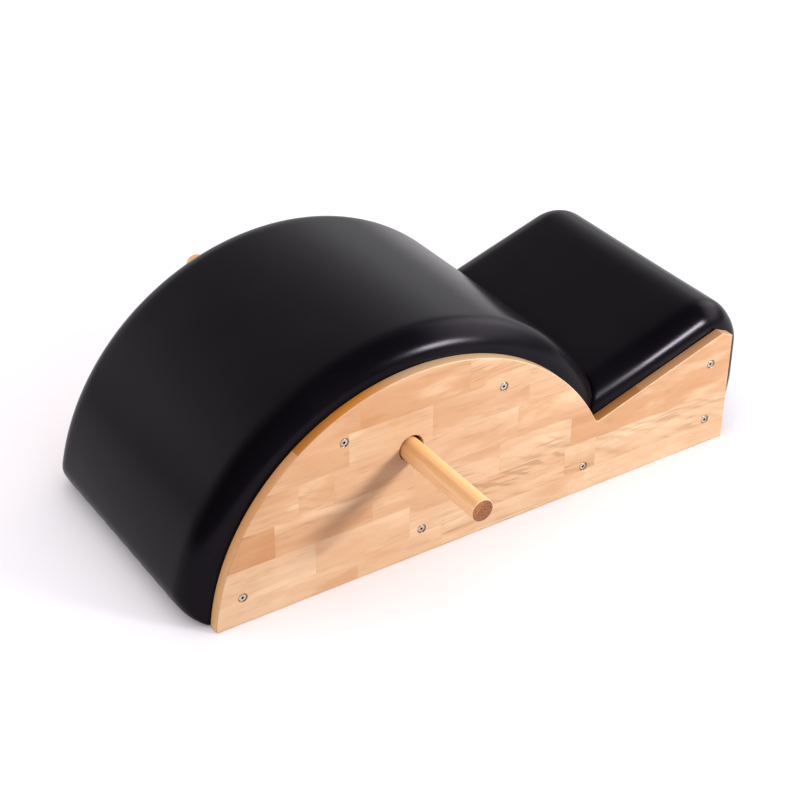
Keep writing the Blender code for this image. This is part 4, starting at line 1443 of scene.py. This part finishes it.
@dataclass
class Pad:
    """A leather cover pulled over foam, rounded along both sides.

    Args:
        name: the finished piece's name.
        node: the node that it stands for.
        path_points: points along the cover from one tuck to the other.
        crease_round: rounding beside the seam on the crown.
        crease_side_round: the same at the sides.
        corner_round: rounding of the step's upper end.
        smallest_round: the least that a rounding tightens to at the sides.
        inset: how far inside its final place the leather starts.
        largest_move: the most that the simulation moves it.
        seam_half_gap: half the gap between both covers at the seam.
        staple_pitch: distance between the staples that pull it.
        pucker: depth of the puckers that they pull.
        pucker_top: height where the puckers begin.
        pucker_full: height where they are full.
        drift: height of the soft waves on the crown.
        edge_run: distance from the sides over which those waves fade.
        held_rows: rows of points along each side that stay in place.
        held_columns: points along each tuck that stay in place.
        blur_passes: times that the moves are averaged with their neighbours.
    """

    profile: Profile
    name: str
    node: str
    path_points: int
    side_round: float = 0.0445
    crease_round: float = 0.011
    crease_side_round: float = 0.003
    foot_round: float = 0.041
    corner_round: float = 0.0742
    smallest_round: float = 0.006
    side_steps: int = 16
    flat_steps: int = 36
    inset: float = 0.0008
    largest_move: float = 0.0018
    leather: float = 0.0013
    seam_half_gap: float = 0.00015
    staple_pitch: float = 0.040
    pucker: float = 0.0004
    pucker_top: float = 0.050
    pucker_full: float = 0.006
    drift: float = 0.0006
    edge_run: float = 0.05
    held_rows: int = 2
    held_columns: int = 3
    frames: int = 20
    blur_passes: int = 24
    smooth_angle: float = 60.0

    def stations(self) -> list[tuple[float, float]]:
        """List where the cover's rows of points lie.

        Returns:
            (y, depth below the crown) pairs from the near side to the far one.
        """
        half = []
        for i in range(self.side_steps + 1):
            angle = math.pi / 2 * i / self.side_steps
            half.append((self.profile.side_y - self.side_round * (1 - math.cos(angle)),
                         self.side_round * (1 - math.sin(angle))))
        flat = half[-1][0]
        middle = [(-flat + 2 * flat * i / self.flat_steps, 0.0) for i in range(1, self.flat_steps)]
        return [(-y, d) for y, d in half] + middle + list(reversed(half))

    def rounding(self, full: float, depth: float) -> float:
        """Return a rounding that tightens towards the sides."""
        return max(full - depth, self.smallest_round)

    def crease(self, depth: float) -> float:
        """Return the rounding beside the seam at a depth."""
        return self.crease_round + (self.crease_side_round - self.crease_round) * (
            depth / self.side_round)

    def seam_wall(self, way: int) -> Vector:
        """Return a point on the cover's wall in the seam: 1 for the barrel's, -1 for the step's."""
        shape = self.profile
        return (shape.valley + shape.seam_left * (way * self.seam_half_gap)
                - shape.seam_up * self.side_round)

    def path(self, depth: float) -> list[Vector]:
        """Return the cover's path in the XZ plane at a depth below its crown."""
        raise NotImplementedError

    def grid(self) -> np.ndarray:
        """Lay the cover's points.

        Returns:
            An array with a row of path points for each station.
        """
        rows = []
        for y, depth in self.stations():
            flat = spread(self.path(depth), self.path_points)
            rows.append(np.column_stack([flat[:, 0], np.full(len(flat), y), flat[:, 1]]))
        return np.array(rows)

    @staticmethod
    def grid_normals(points: np.ndarray) -> np.ndarray:
        """Find which way a grid of points faces.

        Args:
            points: the grid.

        Returns:
            An outward unit normal for each point.
        """
        across = np.gradient(points, axis=0)
        along = np.gradient(points, axis=1)
        normals = np.cross(along, across)
        return normals / np.maximum(np.linalg.norm(normals, axis=2, keepdims=True), 1e-12)

    def sheet(self, points: np.ndarray) -> Mesh:
        """Make a quad mesh of a grid of points.

        Args:
            points: the grid.

        Returns:
            The mesh.
        """
        rows, columns, _ = points.shape
        mesh = bpy.data.meshes.new(self.name)
        faces = [(i * columns + j, i * columns + j + 1, (i + 1) * columns + j + 1,
                  (i + 1) * columns + j) for i in range(rows - 1) for j in range(columns - 1)]
        mesh.from_pydata(points.reshape(-1, 3).tolist(), [], faces)
        mesh.update()
        return mesh

    def tighten(self, points: np.ndarray, normals: np.ndarray) -> np.ndarray:
        """Let the foam press the leather outwards in a short cloth simulation.

        Args:
            points: the target shape's grid.
            normals: its outward normals.

        Returns:
            The relaxed grid, moved by no more than the largest move.
        """
        rows, columns, _ = points.shape
        held = np.zeros((rows, columns))
        held[:self.held_rows, :] = held[-self.held_rows:, :] = 1.0
        held[:, :self.held_columns] = held[:, -self.held_columns:] = 1.0
        start = points - normals * (self.inset * (1.0 - held))[..., None]
        obj = link(self.name + "_sim", self.sheet(start), None, None)
        pins = obj.vertex_groups.new(name="held")
        pins.add([int(i) for i in np.flatnonzero(held.reshape(-1))], 1.0, "REPLACE")
        cloth = obj.modifiers.new("cloth", "CLOTH")
        cloth.settings.vertex_group_mass = pins.name
        for name, value in CLOTH_SETTINGS.items():
            setattr(cloth.settings, name, value)
        cloth.settings.effector_weights.gravity = 0.0
        cloth.collision_settings.use_collision = False
        scene = bpy.context.scene
        for number in range(1, self.frames + 1):
            scene.frame_set(number)
        evaluated = obj.evaluated_get(bpy.context.evaluated_depsgraph_get())
        moved = np.empty(rows * columns * 3)
        evaluated.data.vertices.foreach_get("co", moved)
        moved = moved.reshape(points.shape)
        scene.frame_set(1)
        bpy.data.objects.remove(obj, do_unlink=True)
        outward = ((moved - start) * normals).sum(axis=2)
        outward = blurred(np.clip(outward, 0.0, self.largest_move), self.blur_passes)
        return start + normals * outward[..., None]

    def relief(self, y: np.ndarray, z: np.ndarray, sway: np.ndarray,
               waves: np.ndarray) -> np.ndarray:
        """Return how far puckers over the foot and soft waves on the crown stand out.

        Args:
            y: the points' Y.
            z: their heights.
            sway: what the puckers' phase is off by.
            waves: the soft waves, from -1 to 1.

        Returns:
            The height of each point's relief.
        """
        pull = np.cos(2 * math.pi * y / self.staple_pitch + sway)
        foot = smooth_step(self.pucker_top, self.pucker_full, z)
        crown = smooth_step(0.0, self.edge_run, self.profile.side_y - np.abs(y))
        return self.pucker * pull * foot + self.drift * waves * crown

    def ripple(self, points: np.ndarray) -> np.ndarray:
        """Return how far each point stands out because of folds and puckers."""
        raise NotImplementedError

    def build(self, material: Material, slot: str) -> Object:
        """Build the cover and let it stand for its node.

        Args:
            material: the leather finish.
            slot: not used.

        Returns:
            The finished cover.
        """
        points = self.grid()
        normals = self.grid_normals(points)
        points = self.tighten(points, normals)
        points = points + normals * self.ripple(points)[..., None]
        sheet = link(self.name, self.sheet(points), material, self.smooth_angle)
        wall = sheet.modifiers.new("wall", "SOLIDIFY")
        wall.thickness = self.leather
        wall.offset = -1.0
        solid = finished_mesh(sheet)
        piece = link(self.name, solid, material, self.smooth_angle)
        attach(piece, BODY)
        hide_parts(self.node)
        LOG.info("%s: %d faces", piece.name, len(solid.polygons))
        return piece


@dataclass
class BarrelPad(Pad):
    """The cover of the half-round barrel.

    Args:
        tuck_radius: distance of the tuck's end from the barrel's centre.
        seam_foot_radius: radius of the boards under the seam.
        wall_clear: how far past that radius the seam's wall reaches.
    """

    tuck_radius: float = 0.312
    seam_foot_radius: float = 0.330
    wall_clear: float = 0.004
    foot_steps: int = 24
    crown_steps: int = 160
    crease_steps: int = 12

    def path(self, depth: float) -> list[Vector]:
        """Draw the barrel cover's path from its foot tuck to the seam.

        Args:
            depth: how far below the crown.

        Returns:
            Its points in the XZ plane.
        """
        shape = self.profile
        radius = shape.panel_radius + shape.barrel_pad - depth
        rounding = self.rounding(self.foot_round, depth)
        reach = radius - rounding
        height = shape.floor_gap + rounding
        centre = Vector((shape.barrel_x - math.sqrt(reach ** 2 - (height - shape.centre_z) ** 2),
                         height))
        touch = shape.centre + (centre - shape.centre) * (radius / reach)
        foot = arc(centre, centre - Vector((0.0, rounding)), touch, self.foot_steps)
        tuck_x = shape.barrel_x - math.sqrt(
            self.tuck_radius ** 2 - (shape.floor_gap - shape.centre_z) ** 2)
        tuck = Vector((tuck_x, shape.floor_gap))
        wall = self.seam_wall(1)
        crease = self.crease_arc(radius, wall, depth)
        crown = arc(shape.centre, touch, crease[0], self.crown_steps)
        return [tuck, *foot, *crown[1:-1], *crease, self.wall_end(wall)]

    def crease_arc(self, radius: float, wall: Vector, depth: float) -> list[Vector]:
        """Round the barrel into the seam's wall.

        Args:
            radius: the barrel's radius.
            wall: a point on the wall.
            depth: how far below the crown.

        Returns:
            The rounding's points.
        """
        shape = self.profile
        rounding = self.crease(depth)
        base = wall + shape.seam_left * rounding
        offset = base - shape.centre
        half = offset.dot(shape.seam_up)
        reach = radius - rounding
        centre = base + shape.seam_up * (-half + math.sqrt(
            half ** 2 - offset.length_squared + reach ** 2))
        touch = shape.centre + (centre - shape.centre) * (radius / reach)
        return arc(centre, touch, centre - shape.seam_left * rounding, self.crease_steps)

    def wall_end(self, wall: Vector) -> Vector:
        """Find where the seam's wall stops above the boards.

        Args:
            wall: a point on the wall.

        Returns:
            The wall's end.
        """
        shape = self.profile
        offset = wall - shape.centre
        half = offset.dot(shape.seam_up)
        return wall + shape.seam_up * (-half + math.sqrt(
            half ** 2 - offset.length_squared + self.seam_foot_radius ** 2) - self.wall_clear)

    def ripple(self, points: np.ndarray) -> np.ndarray:
        """Work out the puckers over the foot and the crown's soft waves.

        Args:
            points: the cover's grid.

        Returns:
            How far each point stands out.
        """
        x, y, z = np.moveaxis(points, 2, 0)
        waves = np.sin(7.0 * y + 0.6) * np.sin(3.1 * x + 5.0 * z + 0.4)
        return self.relief(y, z, 0.8 * np.sin(9.0 * y + 1.0), waves)


@dataclass
class StepPad(Pad):
    """The cover of the sloping step, over its top, end and foot.

    Args:
        seam_foot_depth: depth of the boards under the seam, below the panels' slope.
        tuck_inset: distance of the tuck's end from the panels' end.
        end_swell: how far the foam swells the end.
        swell_run: distance past the panels' end over which the swell grows.
        swell_foot: heights between which it grows from nothing.
        swell_head: heights between which it fades again.
    """

    pucker_top: float = 0.045
    seam_foot_depth: float = 0.016
    tuck_inset: float = 0.0352
    end_swell: float = 0.004
    swell_run: float = 0.03
    swell_foot: tuple[float, float] = (0.035, 0.095)
    swell_head: tuple[float, float] = (0.15, 0.20)
    crease_steps: int = 10
    shoulder_steps: int = 30
    toe_steps: int = 20

    def path(self, depth: float) -> list[Vector]:
        """Draw the step cover's path from the seam to its foot tuck.

        Args:
            depth: how far below the crown.

        Returns:
            Its points in the XZ plane.
        """
        shape = self.profile
        level = depth - shape.step_pad
        end_x = shape.panel_end_x + shape.end_pad - depth
        floor = shape.floor_gap
        wall = self.seam_wall(-1)
        valley = meet(wall, shape.seam_up, shape.slope_point(level, 0.0), shape.run)
        corner = shape.slope_point(level, end_x)
        foot = Vector((end_x, floor))
        start = meet(wall, shape.seam_up, shape.slope_point(self.seam_foot_depth, 0.0), shape.run)
        crease = fillet(wall, valley, corner, self.crease(depth), self.crease_steps)
        shoulder = fillet(valley, corner, foot, self.rounding(self.corner_round, depth),
                          self.shoulder_steps)
        toe = fillet(corner, foot, Vector((0.0, floor)), self.rounding(self.foot_round, depth),
                     self.toe_steps)
        tuck = Vector((shape.panel_end_x - self.tuck_inset, floor))
        return [start, *crease, *shoulder, *toe, tuck]

    def ripple(self, points: np.ndarray) -> np.ndarray:
        """Work out the foot's puckers, the crown's soft waves and the end's swell.

        Args:
            points: the cover's grid.

        Returns:
            How far each point stands out.
        """
        x, y, z = np.moveaxis(points, 2, 0)
        waves = np.sin(6.0 * y + 1.9) * np.sin(9.0 * x + 0.8)
        end_x = self.profile.panel_end_x
        swell = smooth_step(end_x, end_x + self.swell_run, x) * smooth_step(
            *self.swell_foot, z) * (1.0 - smooth_step(*self.swell_head, z))
        return self.relief(y, z, 0.7 * np.sin(8.0 * y), waves) + self.end_swell * swell


# Handle


@dataclass
class Handle:
    """The round handle, with eased ends."""

    x: float
    z: float
    diameter: float = 0.034
    length: float = 0.820
    end_round: float = 0.002
    end_steps: int = 6
    body_steps: int = 40
    steps: int = 64

    def build(self, material: Material) -> Object:
        """Build the rod and let it stand for its node.

        Args:
            material: its finish.

        Returns:
            The finished rod.
        """
        radius = self.diameter / 2
        half = self.length / 2
        top = [(0.0, half), (radius / 2, half),
               *quarter_round(radius, half, self.end_round, self.end_steps)]
        straight = self.length - 2 * self.end_round
        body = [(radius, straight * (0.5 - i / self.body_steps))
                for i in range(1, self.body_steps)]
        profile = [*top, *body, *[(r, -h) for r, h in reversed(top)]]
        mesh = turned_mesh("handle_round", profile, self.steps)
        mesh.transform(Matrix.Translation((self.x, 0.0, self.z)) @ ACROSS)
        piece = link("handle_round", mesh, material)
        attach(piece, HANDLE_BODY)
        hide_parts("handle_rod")
        LOG.info("%s: %d faces", piece.name, len(mesh.polygons))
        return piece


# Fasteners


@dataclass
class PanelFasteners:
    """The bolts and cup washers of both panels.

    Args:
        places: x and z of each bolt.
        head_depth: how far its face lies below the panel's.
        rim: height of the head's straight edge.
        edge_run: width of the head's domed edge.
        edge_drop: its drop.
        edge_angles: where the dome has points, in radians.
        length: from the panel's face to the tip.
        socket: the hexagon socket's width across flats.
        cup: a cup washer's closed section, as (radius, height) points.
        steps: faces round a bolt or a washer.
        spin: the largest random turn of one, in radians.
    """

    profile: Profile
    places: dict[str, tuple[float, float]]
    head_radius: float = 0.00575
    head_depth: float = 0.0008
    rim: float = 0.001
    edge_run: float = 0.0009
    edge_drop: float = 0.0005
    edge_angles: tuple[float, ...] = (0.5, 1.0, math.pi / 2)
    shank_radius: float = 0.003
    length: float = 0.045
    tip_run: float = 0.002
    tip_radius: float = 0.0015
    socket: float = 0.004
    socket_depth: float = 0.0025
    cup: tuple[tuple[float, float], ...] = (
        (0.0062, -0.0004), (0.0066, -0.00012), (0.0070, -0.00014), (0.00725, -0.0005),
        (0.00725, -0.0026), (0.0039, -0.0055), (0.0033, -0.0055), (0.0033, -0.0047),
        (0.0062, -0.0018))
    steps: int = 36
    spin: float = 1.05

    def bolt_mesh(self) -> Mesh:
        """Build one bolt, its head at the panel's face and its socket cut.

        Returns:
            Its mesh.
        """
        head = self.head_radius
        seat = self.head_depth + self.rim
        profile = [(0.0, -self.head_depth), (head - self.edge_run, -self.head_depth)]
        profile += [(head - self.edge_run * (1 - math.sin(angle)),
                     -self.head_depth - self.edge_drop * (1 - math.cos(angle)))
                    for angle in self.edge_angles]
        profile += [(head, -seat), (self.shank_radius, -seat - head + self.shank_radius),
                    (self.shank_radius, self.tip_run - self.length),
                    (self.tip_radius, -self.length), (0.0, -self.length)]
        blank = link("bolt_blank", turned_mesh("bolt", profile, self.steps), None, None)
        radius = self.socket / math.sqrt(3)
        mesh = bpy.data.meshes.new("socket")
        with edited(mesh) as work:
            bmesh.ops.create_cone(work, cap_ends=True, segments=6, radius1=radius, radius2=radius,
                                  depth=2 * self.socket_depth,
                                  matrix=Matrix.Translation((0.0, 0.0, -self.head_depth)))
        return cut_out(blank, [link("socket", mesh, None, None)])

    def cup_mesh(self) -> Mesh:
        """Return one cup washer with a rolled lip."""
        return turned_mesh("cup", self.cup, self.steps, closed=True)

    def build(self, repeat: RepeatTree, finishes: Finishes) -> None:
        """Set bolts and cup washers into both panels.

        Args:
            repeat: the tree that sets a copy on each point.
            finishes: the object's materials.
        """
        for side in Side:
            outward = Vector((0.0, side.value, 0.0))
            points = [(Vector((x, side.value * self.profile.half_width, z)), outward)
                      for x, z in self.places.values()]
            for kind, mesh, material, slot in (
                    ("bolt", self.bolt_mesh(), finishes.bolt, "bolt_steel"),
                    ("cup_washer", self.cup_mesh(), finishes.cup, "cup_steel")):
                piece = repeat.place(f"{side.word}_{kind}s", mesh, points, material, self.spin)
                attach(piece, BODY)
                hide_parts(*[f"{side.word}_{place}_{kind}" for place in self.places])
                LOG.info("%s: %d faces", piece.name, len(piece.data.polygons))


@dataclass
class CoverStaples:
    """Wire staples that hold the covers' edges under the object.

    Args:
        rows: x of each row.
        crown: a staple's length.
        edge_share: its edges' rounding as a share of the wire.
        height: its outer side above the floor.
        spin: the largest random turn of a staple, in radians.
    """

    rows: tuple[float, float] = (-0.4352, 0.4221)
    pitch: float = 0.040
    count: int = 11
    crown: float = 0.010
    wire: float = 0.0006
    edge_share: float = 0.3
    height: float = 0.0011
    spin: float = 0.3

    def build(self, repeat: RepeatTree, material: Material) -> None:
        """Set a row of staples along each tuck.

        Args:
            repeat: the tree that sets a copy on each point.
            material: the staples' finish.
        """
        mesh = bpy.data.meshes.new("staple")
        with edited(mesh) as work:
            bmesh.ops.create_cube(work, size=1.0, matrix=Matrix.Translation(
                (0.0, 0.0, self.wire / 2)) @ Matrix.Diagonal(
                    (self.crown, self.wire, self.wire, 1.0)))
            bmesh.ops.bevel(work, geom=list(work.edges), offset=self.wire * self.edge_share,
                            segments=2, affect="EDGES", profile=0.5)
        middle = (self.count - 1) / 2
        points = [(Vector((x, (i - middle) * self.pitch, self.height)), Vector((0.0, 0.0, -1.0)))
                  for x in self.rows for i in range(self.count)]
        piece = repeat.place("cover_staples", mesh, points, material, self.spin)
        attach(piece, BODY)
        LOG.info("%s: %d faces", piece.name, len(piece.data.polygons))


# Frame pieces that keep their CAD shape


@dataclass
class InnerFrame:
    """Boards, ribs, rails and foam, which keep their shapes and get their finishes."""

    finishes: Finishes

    def dress(self) -> None:
        """Give every inner node its finish."""
        groups = {
            self.finishes.rib_ply: ("near_rib", "centre_rib", "far_rib"),
            self.finishes.board_ply: ("barrel_deck", "step_deck"),
            self.finishes.end_ply: ("end_board",),
            self.finishes.foam: ("barrel_foam", "step_foam"),
            self.finishes.softwood: (
                "barrel_foot_rail", "barrel_middle_rail", "valley_rail", "step_foot_rail",
                "upper_foot_side_rail", "upper_step_side_rail", "step_head_rail",
                "valley_batten", "barrel_tack_strip", "step_tack_strip", "step_nosing"),
        }
        for material, nodes in groups.items():
            for node in nodes:
                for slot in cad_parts[node].material_slots:
                    slot.material = material
        LOG.info("inner frame: %d nodes", sum(len(nodes) for nodes in groups.values()))


# Studio


@dataclass(frozen=True)
class Softbox:
    """A rectangular area light, with its power in watts and the point that it looks at."""

    name: str
    place: Vector
    aim: Vector
    size: tuple[float, float]
    power: float
    colour: tuple = (1.0, 1.0, 1.0)
    spread: float = math.pi

    def light(self) -> Object:
        """Add the softbox's light to the scene, upright.

        Returns:
            The light.
        """
        data = bpy.data.lights.new(self.name, "AREA")
        data.shape = "RECTANGLE"
        data.size, data.size_y = self.size
        data.energy = self.power
        data.color = self.colour
        data.spread = self.spread
        obj = add_object(self.name, data)
        back = (self.place - self.aim).normalized()
        across = Vector((0.0, 0.0, 1.0)).cross(back).normalized()
        obj.matrix_world = placed(self.place, across, back.cross(across), back)
        return obj


def placed(place: Vector, across: Vector, upward: Vector, back: Vector) -> Matrix:
    """Return the matrix of a light or camera from its place and its three axes."""
    return Matrix.Translation(place) @ Matrix((across, upward, back)).transposed().to_4x4()


@dataclass
class Studio:
    """Floor, light and camera.

    Args:
        azimuth: the camera's turn about Z, elevation its height angle and roll its tilt.
        distance: how far it stands from the target.
        target: the point behind the picture's middle.
        lens: its focal length in millimetres, over a sensor of 36 mm.
        centre: what the key light looks at.
        key_way: direction towards the key light.
        key_power: its power, which the floor doesn't get, and spill_power, which it does.
        strip: the light that edges the pads.
        floor_reach: half the floor's width.
        room_strength: how brightly the room lights matt surfaces.
        left_way: direction in which reflections see a darker room.
    """

    azimuth: float = math.radians(-33.34)
    elevation: float = math.radians(32.59)
    roll: float = math.radians(0.45)
    distance: float = 2.5122
    target: tuple = (-0.163076, -0.2375, 0.2796)
    lens: float = 82.78
    sensor: float = 36.0
    view_end: float = 100.0
    centre: tuple = (0.0, 0.0, 0.12)
    key_way: tuple = (0.56, -0.72, 0.39)
    key_distance: float = 5.0
    key_size: tuple = (1.0, 1.0)
    key_colour: tuple = (0.94, 1.0, 1.07)
    key_power: float = 360.0
    spill_power: float = 90.0
    strip: Softbox = Softbox("strip", Vector((0.88, -1.45, 0.86)), Vector((0.42, -0.24, 0.33)),
                             (0.42, 0.30), 4.2, (0.98, 1.05, 0.97), math.radians(75))
    floor_reach: float = 30.0
    room_strength: float = 1.17
    left_way: tuple = (-0.98, -0.19, 0.0)

    def camera(self) -> None:
        """Place the camera where the photograph was taken."""
        a, e, r = self.azimuth, self.elevation, self.roll
        back = Vector((math.sin(a) * math.cos(e), -math.cos(a) * math.cos(e), math.sin(e)))
        right = Vector((math.cos(a), math.sin(a), 0.0))
        up = back.cross(right)
        across = math.cos(r) * right + math.sin(r) * up
        upward = -math.sin(r) * right + math.cos(r) * up
        data = bpy.data.cameras.new("camera")
        data.lens = self.lens
        data.sensor_width = self.sensor
        data.clip_end = self.view_end
        camera = add_object("camera", data)
        camera.matrix_world = placed(Vector(self.target) + back * self.distance, across, upward,
                                     back)
        bpy.context.scene.camera = camera

    def floor(self, material: Material) -> Object:
        """Lay a wide pale floor.

        Args:
            material: its finish.

        Returns:
            The floor.
        """
        mesh = bpy.data.meshes.new("studio_floor")
        with edited(mesh) as work:
            bmesh.ops.create_grid(work, x_segments=4, y_segments=4, size=self.floor_reach)
        ground = link("studio_floor", mesh, material, None)
        return ground

    def lights(self, ground: Object) -> None:
        """Stand the key and its spill at the front right, and a strip that edges the pads.

        Args:
            ground: the floor, which the key is flagged off.
        """
        centre = Vector(self.centre)
        place = centre + Vector(self.key_way).normalized() * self.key_distance
        key, spill = (Softbox(name, place, centre, self.key_size, power, self.key_colour).light()
                      for name, power in (("key", self.key_power), ("key_spill", self.spill_power)))
        key.visible_glossy = spill.visible_glossy = False
        flagged = bpy.data.collections.new("flagged_off_the_key")
        flagged.objects.link(ground)
        flagged.collection_objects[0].light_linking.link_state = "EXCLUDE"
        key.light_linking.receiver_collection = flagged
        self.strip.light().visible_diffuse = False

    def reflected(self, sketch: NodeSketch) -> NodeSocket:
        """Return how bright reflections see the room, in every direction.

        Args:
            sketch: the world's node tree.

        Returns:
            The brightness: a ring round the horizon, darker overhead, in front and to the left,
            with a glow to the right.
        """
        way = sketch.coordinates("Generated")
        x, y, z = sketch.split(way)
        ring = sketch.times(sketch.ramp(z, 0.16, 0.72, 0.97, 0.35),
                            sketch.ramp(z, 0.0, 0.30, 0.55, 1.0))
        overhead = sketch.ramp(z, 0.72, 1.0, 1.0, 0.4)
        left = sketch.vector_math("DOT_PRODUCT", way, self.left_way).outputs["Value"]
        level = sketch.times(ring, overhead)
        level = sketch.times(level, sketch.ramp(left, 0.30, 1.0, 1.0, 0.35))
        level = sketch.times(level, sketch.ramp(y, -0.05, 0.45, 0.10, 1.0))
        glow = sketch.times(sketch.ramp(x, 0.48, 0.80, 0.0, 2.4),
                            sketch.ramp(z, 0.10, 0.42, 0.12, 1.0))
        glow = sketch.times(glow, sketch.ramp(y, 0.20, 0.60, 1.0, 0.0))
        glow = sketch.times(glow, sketch.ramp(x, 0.86, 0.98, 1.0, 0.6))
        return sketch.math("ADD", level, glow)

    def world(self) -> None:
        """Set a bright soft room, with its own brightness for reflections and a white backdrop."""
        world = bpy.data.worlds.new("studio")
        world.use_nodes = True
        bpy.context.scene.world = world
        sketch = NodeSketch(world.node_tree)
        matt, glossy, backdrop = (
            sketch.add("ShaderNodeBackground", Color=colour, Strength=strength).outputs[0]
            for colour, strength in (((1.0, 0.985, 0.99, 1.0), self.room_strength),
                                     ((1.0, 0.99, 1.0, 1.0), self.reflected(sketch)),
                                     ((1.0, 1.0, 1.0, 1.0), 1.0)))
        rays = sketch.add("ShaderNodeLightPath")
        shown = matt
        for ray, shader in (("Is Glossy Ray", glossy), ("Is Camera Ray", backdrop)):
            choice = sketch.add("ShaderNodeMixShader")
            for socket, value in zip(choice.inputs, (rays.outputs[ray], shown, shader)):
                sketch.feed(socket, value)
            shown = choice.outputs[0]
        output = sketch.add("ShaderNodeOutputWorld")
        sketch.feed(output.inputs["Surface"], shown)

    def build(self, material: Material) -> None:
        """Set up the whole studio.

        Args:
            material: the floor's finish.
        """
        self.world()
        self.lights(self.floor(material))
        self.camera()
        view = bpy.context.scene.view_settings
        view.view_transform = "Standard"
        view.look = "None"
        LOG.info("studio ready")


class SpineCorrector:
    """Builds every piece in order."""

    bolts = {
        "barrel_foot": (-0.299, 0.045),
        "barrel_middle": (-0.0045, 0.045),
        "valley": (0.29004, 0.045),
        "step_foot": (0.532, 0.045),
        "upper_foot_side": (-0.133378, 0.24106),
        "upper_step_side": (0.133378, 0.24106),
        "step_head": (0.532, 0.1475),
    }
    near_rows = [
        [(-0.2327, Tone.PALE, Grain.PLAIN), (-0.0889, Tone.STRAW, Grain.PLAIN),
         (0.1736, Tone.PALE, Grain.LINED), (0.5, Tone.PALE, Grain.PLAIN)],
        [(-0.3014, Tone.PALE, Grain.PLAIN), (-0.1452, Tone.STRAW, Grain.PLAIN),
         (-0.0452, Tone.PALE, Grain.PLAIN), (0.1336, Tone.STRAW, Grain.FLAMED),
         (0.192, Tone.STRAW, Grain.LINED), (0.5, Tone.PALE, Grain.FIGURED)],
        [(-0.3652, Tone.BROWN, Grain.PLAIN), (-0.2077, Tone.WARM, Grain.LINED),
         (-0.0764, Tone.HONEY, Grain.PLAIN), (0.0111, Tone.PALE, Grain.LINED),
         (0.1424, Tone.PALE, Grain.FIGURED), (0.5, Tone.TAWNY, Grain.PLAIN)],
        [(-0.3264, Tone.HONEY, Grain.PLAIN), (-0.2702, Tone.WARM, Grain.FIGURED),
         (-0.1400, Tone.HONEY, Grain.PLAIN), (0.0424, Tone.PALE, Grain.PLAIN),
         (0.2, Tone.WARM, Grain.LINED), (0.5, Tone.TAWNY, Grain.LINED)],
        [(-0.2452, Tone.WARM, Grain.PLAIN), (-0.1077, Tone.STRAW, Grain.PLAIN),
         (0.06, Tone.STRAW, Grain.LINED), (0.5, Tone.STRAW, Grain.LINED)],
        [(-0.2264, Tone.HONEY, Grain.PLAIN), (-0.0452, Tone.TAWNY, Grain.PLAIN),
         (0.5, Tone.WARM, Grain.LINED)],
        [(0.5, Tone.HONEY, Grain.PLAIN)],
    ]
    # The rim's colour from board to board, with painted light low on the barrel and painted shade
    # along the slope.
    near_rim = [(-0.46, Rim.PALE), (-0.40, Rim.AMBER), (-0.3255, Rim.AMBER), (-0.3245, Rim.BROWN),
                (-0.22, Rim.BROWN), (-0.15, Rim.PLAIN), (0.18, Rim.PLAIN), (0.182, Rim.DARK),
                (0.25, Rim.DARK), (0.30, Rim.TAN), (0.42, Rim.TAN), (0.47, Rim.PLAIN)]
    far_rim = [(-0.40, Rim.PALE), (-0.20, Rim.BROWN), (0.05, Rim.PLAIN), (0.22, Rim.DARK),
               (0.40, Rim.PLAIN)]
    far_rows = [
        [(-0.12, Tone.STRAW, Grain.PLAIN), (0.22, Tone.HONEY, Grain.LINED),
         (0.5, Tone.PALE, Grain.PLAIN)],
        [(-0.33, Tone.WARM, Grain.PLAIN), (-0.10, Tone.PALE, Grain.LINED),
         (0.12, Tone.HONEY, Grain.PLAIN), (0.5, Tone.STRAW, Grain.FLAMED)],
        [(-0.21, Tone.PALE, Grain.PLAIN), (0.0, Tone.HONEY, Grain.FLAMED),
         (0.24, Tone.STRAW, Grain.LINED), (0.5, Tone.PALE, Grain.PLAIN)],
        [(-0.27, Tone.STRAW, Grain.LINED), (-0.09, Tone.PALE, Grain.PLAIN),
         (0.14, Tone.WARM, Grain.LINED), (0.5, Tone.HONEY, Grain.PLAIN)],
        [(-0.22, Tone.HONEY, Grain.PLAIN), (0.08, Tone.STRAW, Grain.LINED),
         (0.5, Tone.PALE, Grain.PLAIN)],
        [(-0.05, Tone.PALE, Grain.LINED), (0.5, Tone.WARM, Grain.PLAIN)],
        [(0.5, Tone.STRAW, Grain.PLAIN)],
    ]

    def build(self) -> None:
        """Build pads, panels, handle, fasteners, inner frame and studio."""
        profile = Profile()
        finishes = Finishes(profile)
        repeat = RepeatTree("repeat_on_points")
        places = {name: (profile.barrel_x + reach, z) for name, (reach, z) in self.bolts.items()}
        for side, rows, rim in ((Side.NEAR, self.near_rows, self.near_rim),
                                (Side.FAR, self.far_rows, self.far_rim)):
            SidePanel(profile, side, rows, rim).build(list(places.values()), finishes.staves)
        BarrelPad(profile, "barrel_leather", "barrel_cover", 190).build(finishes.leather, "leather")
        StepPad(profile, "step_leather", "step_cover", 150).build(finishes.leather, "leather")
        Handle(profile.handle_x, profile.handle_z).build(finishes.rod)
        PanelFasteners(profile, places).build(repeat, finishes)
        CoverStaples().build(repeat, finishes.staple)
        InnerFrame(finishes).dress()
        Studio().build(finishes.floor)


def main() -> None:
    """Build the object."""
    logging.basicConfig(level=logging.INFO, format="%(name)s: %(message)s")
    SpineCorrector().build()


if __name__ == "__main__":
    main()
